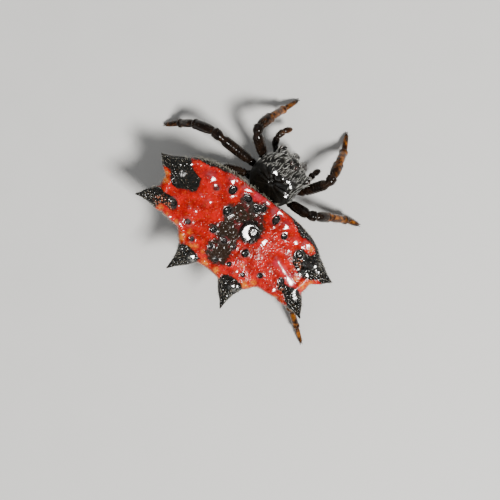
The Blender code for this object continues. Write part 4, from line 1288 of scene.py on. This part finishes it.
def headWeight(place):
    # A broad U over head and sides in front of the bare thorax, thicker in front, clear of the eyes.
    a, b = toProsoma(place)
    band = smoothStep(-0.12, 0.12, a - 0.22 + 0.42 * (b / 1.2) ** 2)
    eyes = [np.linalg.norm(place - fromProsoma(ea, side * eb, ez), axis=1) - radius
            for ea, eb, ez, radius in prosoma["eyes"] for side in (1, -1)]
    clear = smoothStep(0.03, 0.1, np.min(eyes, axis=0))
    return smoothStep(2.4, 2.5, place[:, 2]) * band * clear * (0.5 + 0.5 * smoothStep(0.7, 1.3, a))


def headSetae():
    # Dense curved hairs, combed forward and a little inward.
    count, ranges = setae["head"]
    place, normal = rootsOn(prosomaSkin, count, headWeight)
    a, b = toProsoma(place)
    combed = fromProsoma(a + 1.0, b - 0.15 * b, place[:, 2]) - place
    combed += rng.normal(0, setae["headScatter"], combed.shape)
    uv = np.stack([np.arctan2(b, a) / (2 * math.pi) + 0.5, np.clip(np.hypot(a, b) / 1.8, 0, 1)], axis=1)
    makeSetae("headSetae", place, normal, combed, *drawn(count, ranges), uv, whiteHair, "prosoma")


def abdomenWeight(place):
    # Thick on the margin, most of all at the left front, sparse on shield and belly.
    x, y, z = place.T
    black = insideAny(place, markings["black"])
    share = abdomenReach(x, y)
    front = smoothStep(0.88, 0.95, share) * smoothStep(-2.0, -2.4, y) * smoothStep(0.3, 1.0, x)
    thick = 0.05 + 0.1 * smoothStep(-0.1, 0.2, black) + 0.9 * smoothStep(0.93, 1.0, share) + 1.5 * front
    return thick * (0.25 + 0.75 * (z > 3.3))


def abdomenSetae():
    # Short hairs that lean outward.
    count, ranges = setae["abdomen"]
    place, normal = rootsOn(abdomenSkin, count, abdomenWeight)
    x, y = place[:, 0], place[:, 1]
    combed = np.stack([x, y - abdomen["middleY"], np.full(count, 0.25)], axis=1)
    combed += rng.normal(0, setae["abdomenScatter"], combed.shape)
    share = np.clip(abdomenReach(x, y), 0, 1.2) / 2.4
    turn = np.arctan2(x, y - abdomen["middleY"]) / (2 * math.pi) + 0.5
    uv = np.stack([turn, np.where(normal[:, 2] > 0, share, 1 - share)], axis=1)
    sizes = drawn(count, ranges, setae["abdomenShort"])
    makeSetae("abdomenSetae", place, normal, combed, *sizes, uv, paleHair, "abdomen")


def limbSetae():
    # Hairs on each limb and chelicera leave its side and lean toward its tip.
    lines = legLines + palpLines + cheliceraLines
    for index, (kind, word, line, rings) in enumerate(lines):
        (count, ranges), sides = setae[kind], rings.shape[1]
        row = rng.integers(int(len(line) * 0.16), len(line) - 3, count)
        column = rng.integers(0, sides, count)
        place = rings[row, column]
        normal = place - line[row]
        normal /= np.maximum(np.linalg.norm(normal, axis=1), 1e-9)[:, None]
        combed = line[np.minimum(row + 2, len(line) - 1)] - line[row - 2]
        uv = np.stack([(index + 0.1 + 0.8 * column / sides) / len(lines), row / len(line)], axis=1)
        sizes = drawn(count, ranges)
        tip = place[:, 2] + np.minimum(normal[:, 2], 0) * sizes[0]
        keep = tip > setae["clearOfFloor"]
        values = (v[keep] for v in (place, normal, combed, *sizes, uv))
        makeSetae(kind + "Setae" + word, *values, darkHair, kind)


headSetae()
abdomenSetae()
limbSetae()
print("setae done")


# Floor, lights and camera

studio = {
    "floor": 300.0, "floorDark": (0.6, 0.6, 0.585, 1), "floorPale": (0.65, 0.65, 0.635, 1),
    # name, place, size, power, colour
    "lights": (("keyLight", (-92, 12, 150), 40, 0.6, (1, 0.98, 0.95)),
               ("fillLight", (110, -60, 120), 140, 0.035, (0.95, 0.98, 1)),
               ("backLight", (20, 130, 90), 100, 0.03, (1, 1, 1))),
    "aim": (0, 0, 3), "world": 0.19,
    # the camera looks straight down: its place, and the way of the picture's right side in plan
    "focal": 134.84, "camera": (-1.331, 2.742, 110.0), "right": (-0.797, -0.604),
}


def makeFloor():
    # A wide plain pale floor, its corners far outside every view.
    half = studio["floor"]
    corners = np.array([(-half, -half, 0), (half, -half, 0), (half, half, 0), (-half, half, 0)], float)
    mesh = addMesh("floor", (corners * mm, np.array([[0, 1, 2, 3]]), np.zeros((0, 3), int)))
    material, tree, shader, place = newMaterial("paleFloor", {})
    noise = noiseAt(tree, place, 300.0, 4.0)
    paint(tree, shader, mixed(tree, noise, studio["floorDark"], studio["floorPale"]),
          ramp(tree, noise, 0.3, 0.7, 0.6, 0.7))
    mesh.materials.append(material)
    addObject("floor", mesh)


def addLight(name, place, size, power, colour):
    # A square area light at a place in millimetres, turned to the aim.
    light = bpy.data.lights.new(name, "AREA")
    light.size = size * mm
    light.energy = power
    light.color = colour
    lamp = addObject(name, light)
    lamp.location = [v * mm for v in place]
    lamp.rotation_euler = (Vector(place) - Vector(studio["aim"])).to_track_quat("Z", "Y").to_euler()


def makeStudio():
    for values in studio["lights"]:
        addLight(*values)
    world = bpy.data.worlds.new("studioWorld")
    world.use_nodes = True
    background = world.node_tree.nodes["Background"]
    background.inputs["Color"].default_value = (1, 1, 1, 1)
    background.inputs["Strength"].default_value = studio["world"]
    bpy.context.scene.world = world
    camera = addObject("camera", bpy.data.cameras.new("camera"))
    camera.data.lens = studio["focal"]
    camera.data.sensor_width = 36
    camera.data.clip_start = 1e-4
    camera.data.clip_end = 10
    camera.location = [v * mm for v in studio["camera"]]
    camera.rotation_euler = (0, 0, math.atan2(studio["right"][1], studio["right"][0]))
    bpy.context.scene.camera = camera


makeFloor()
makeStudio()
print("stage done")
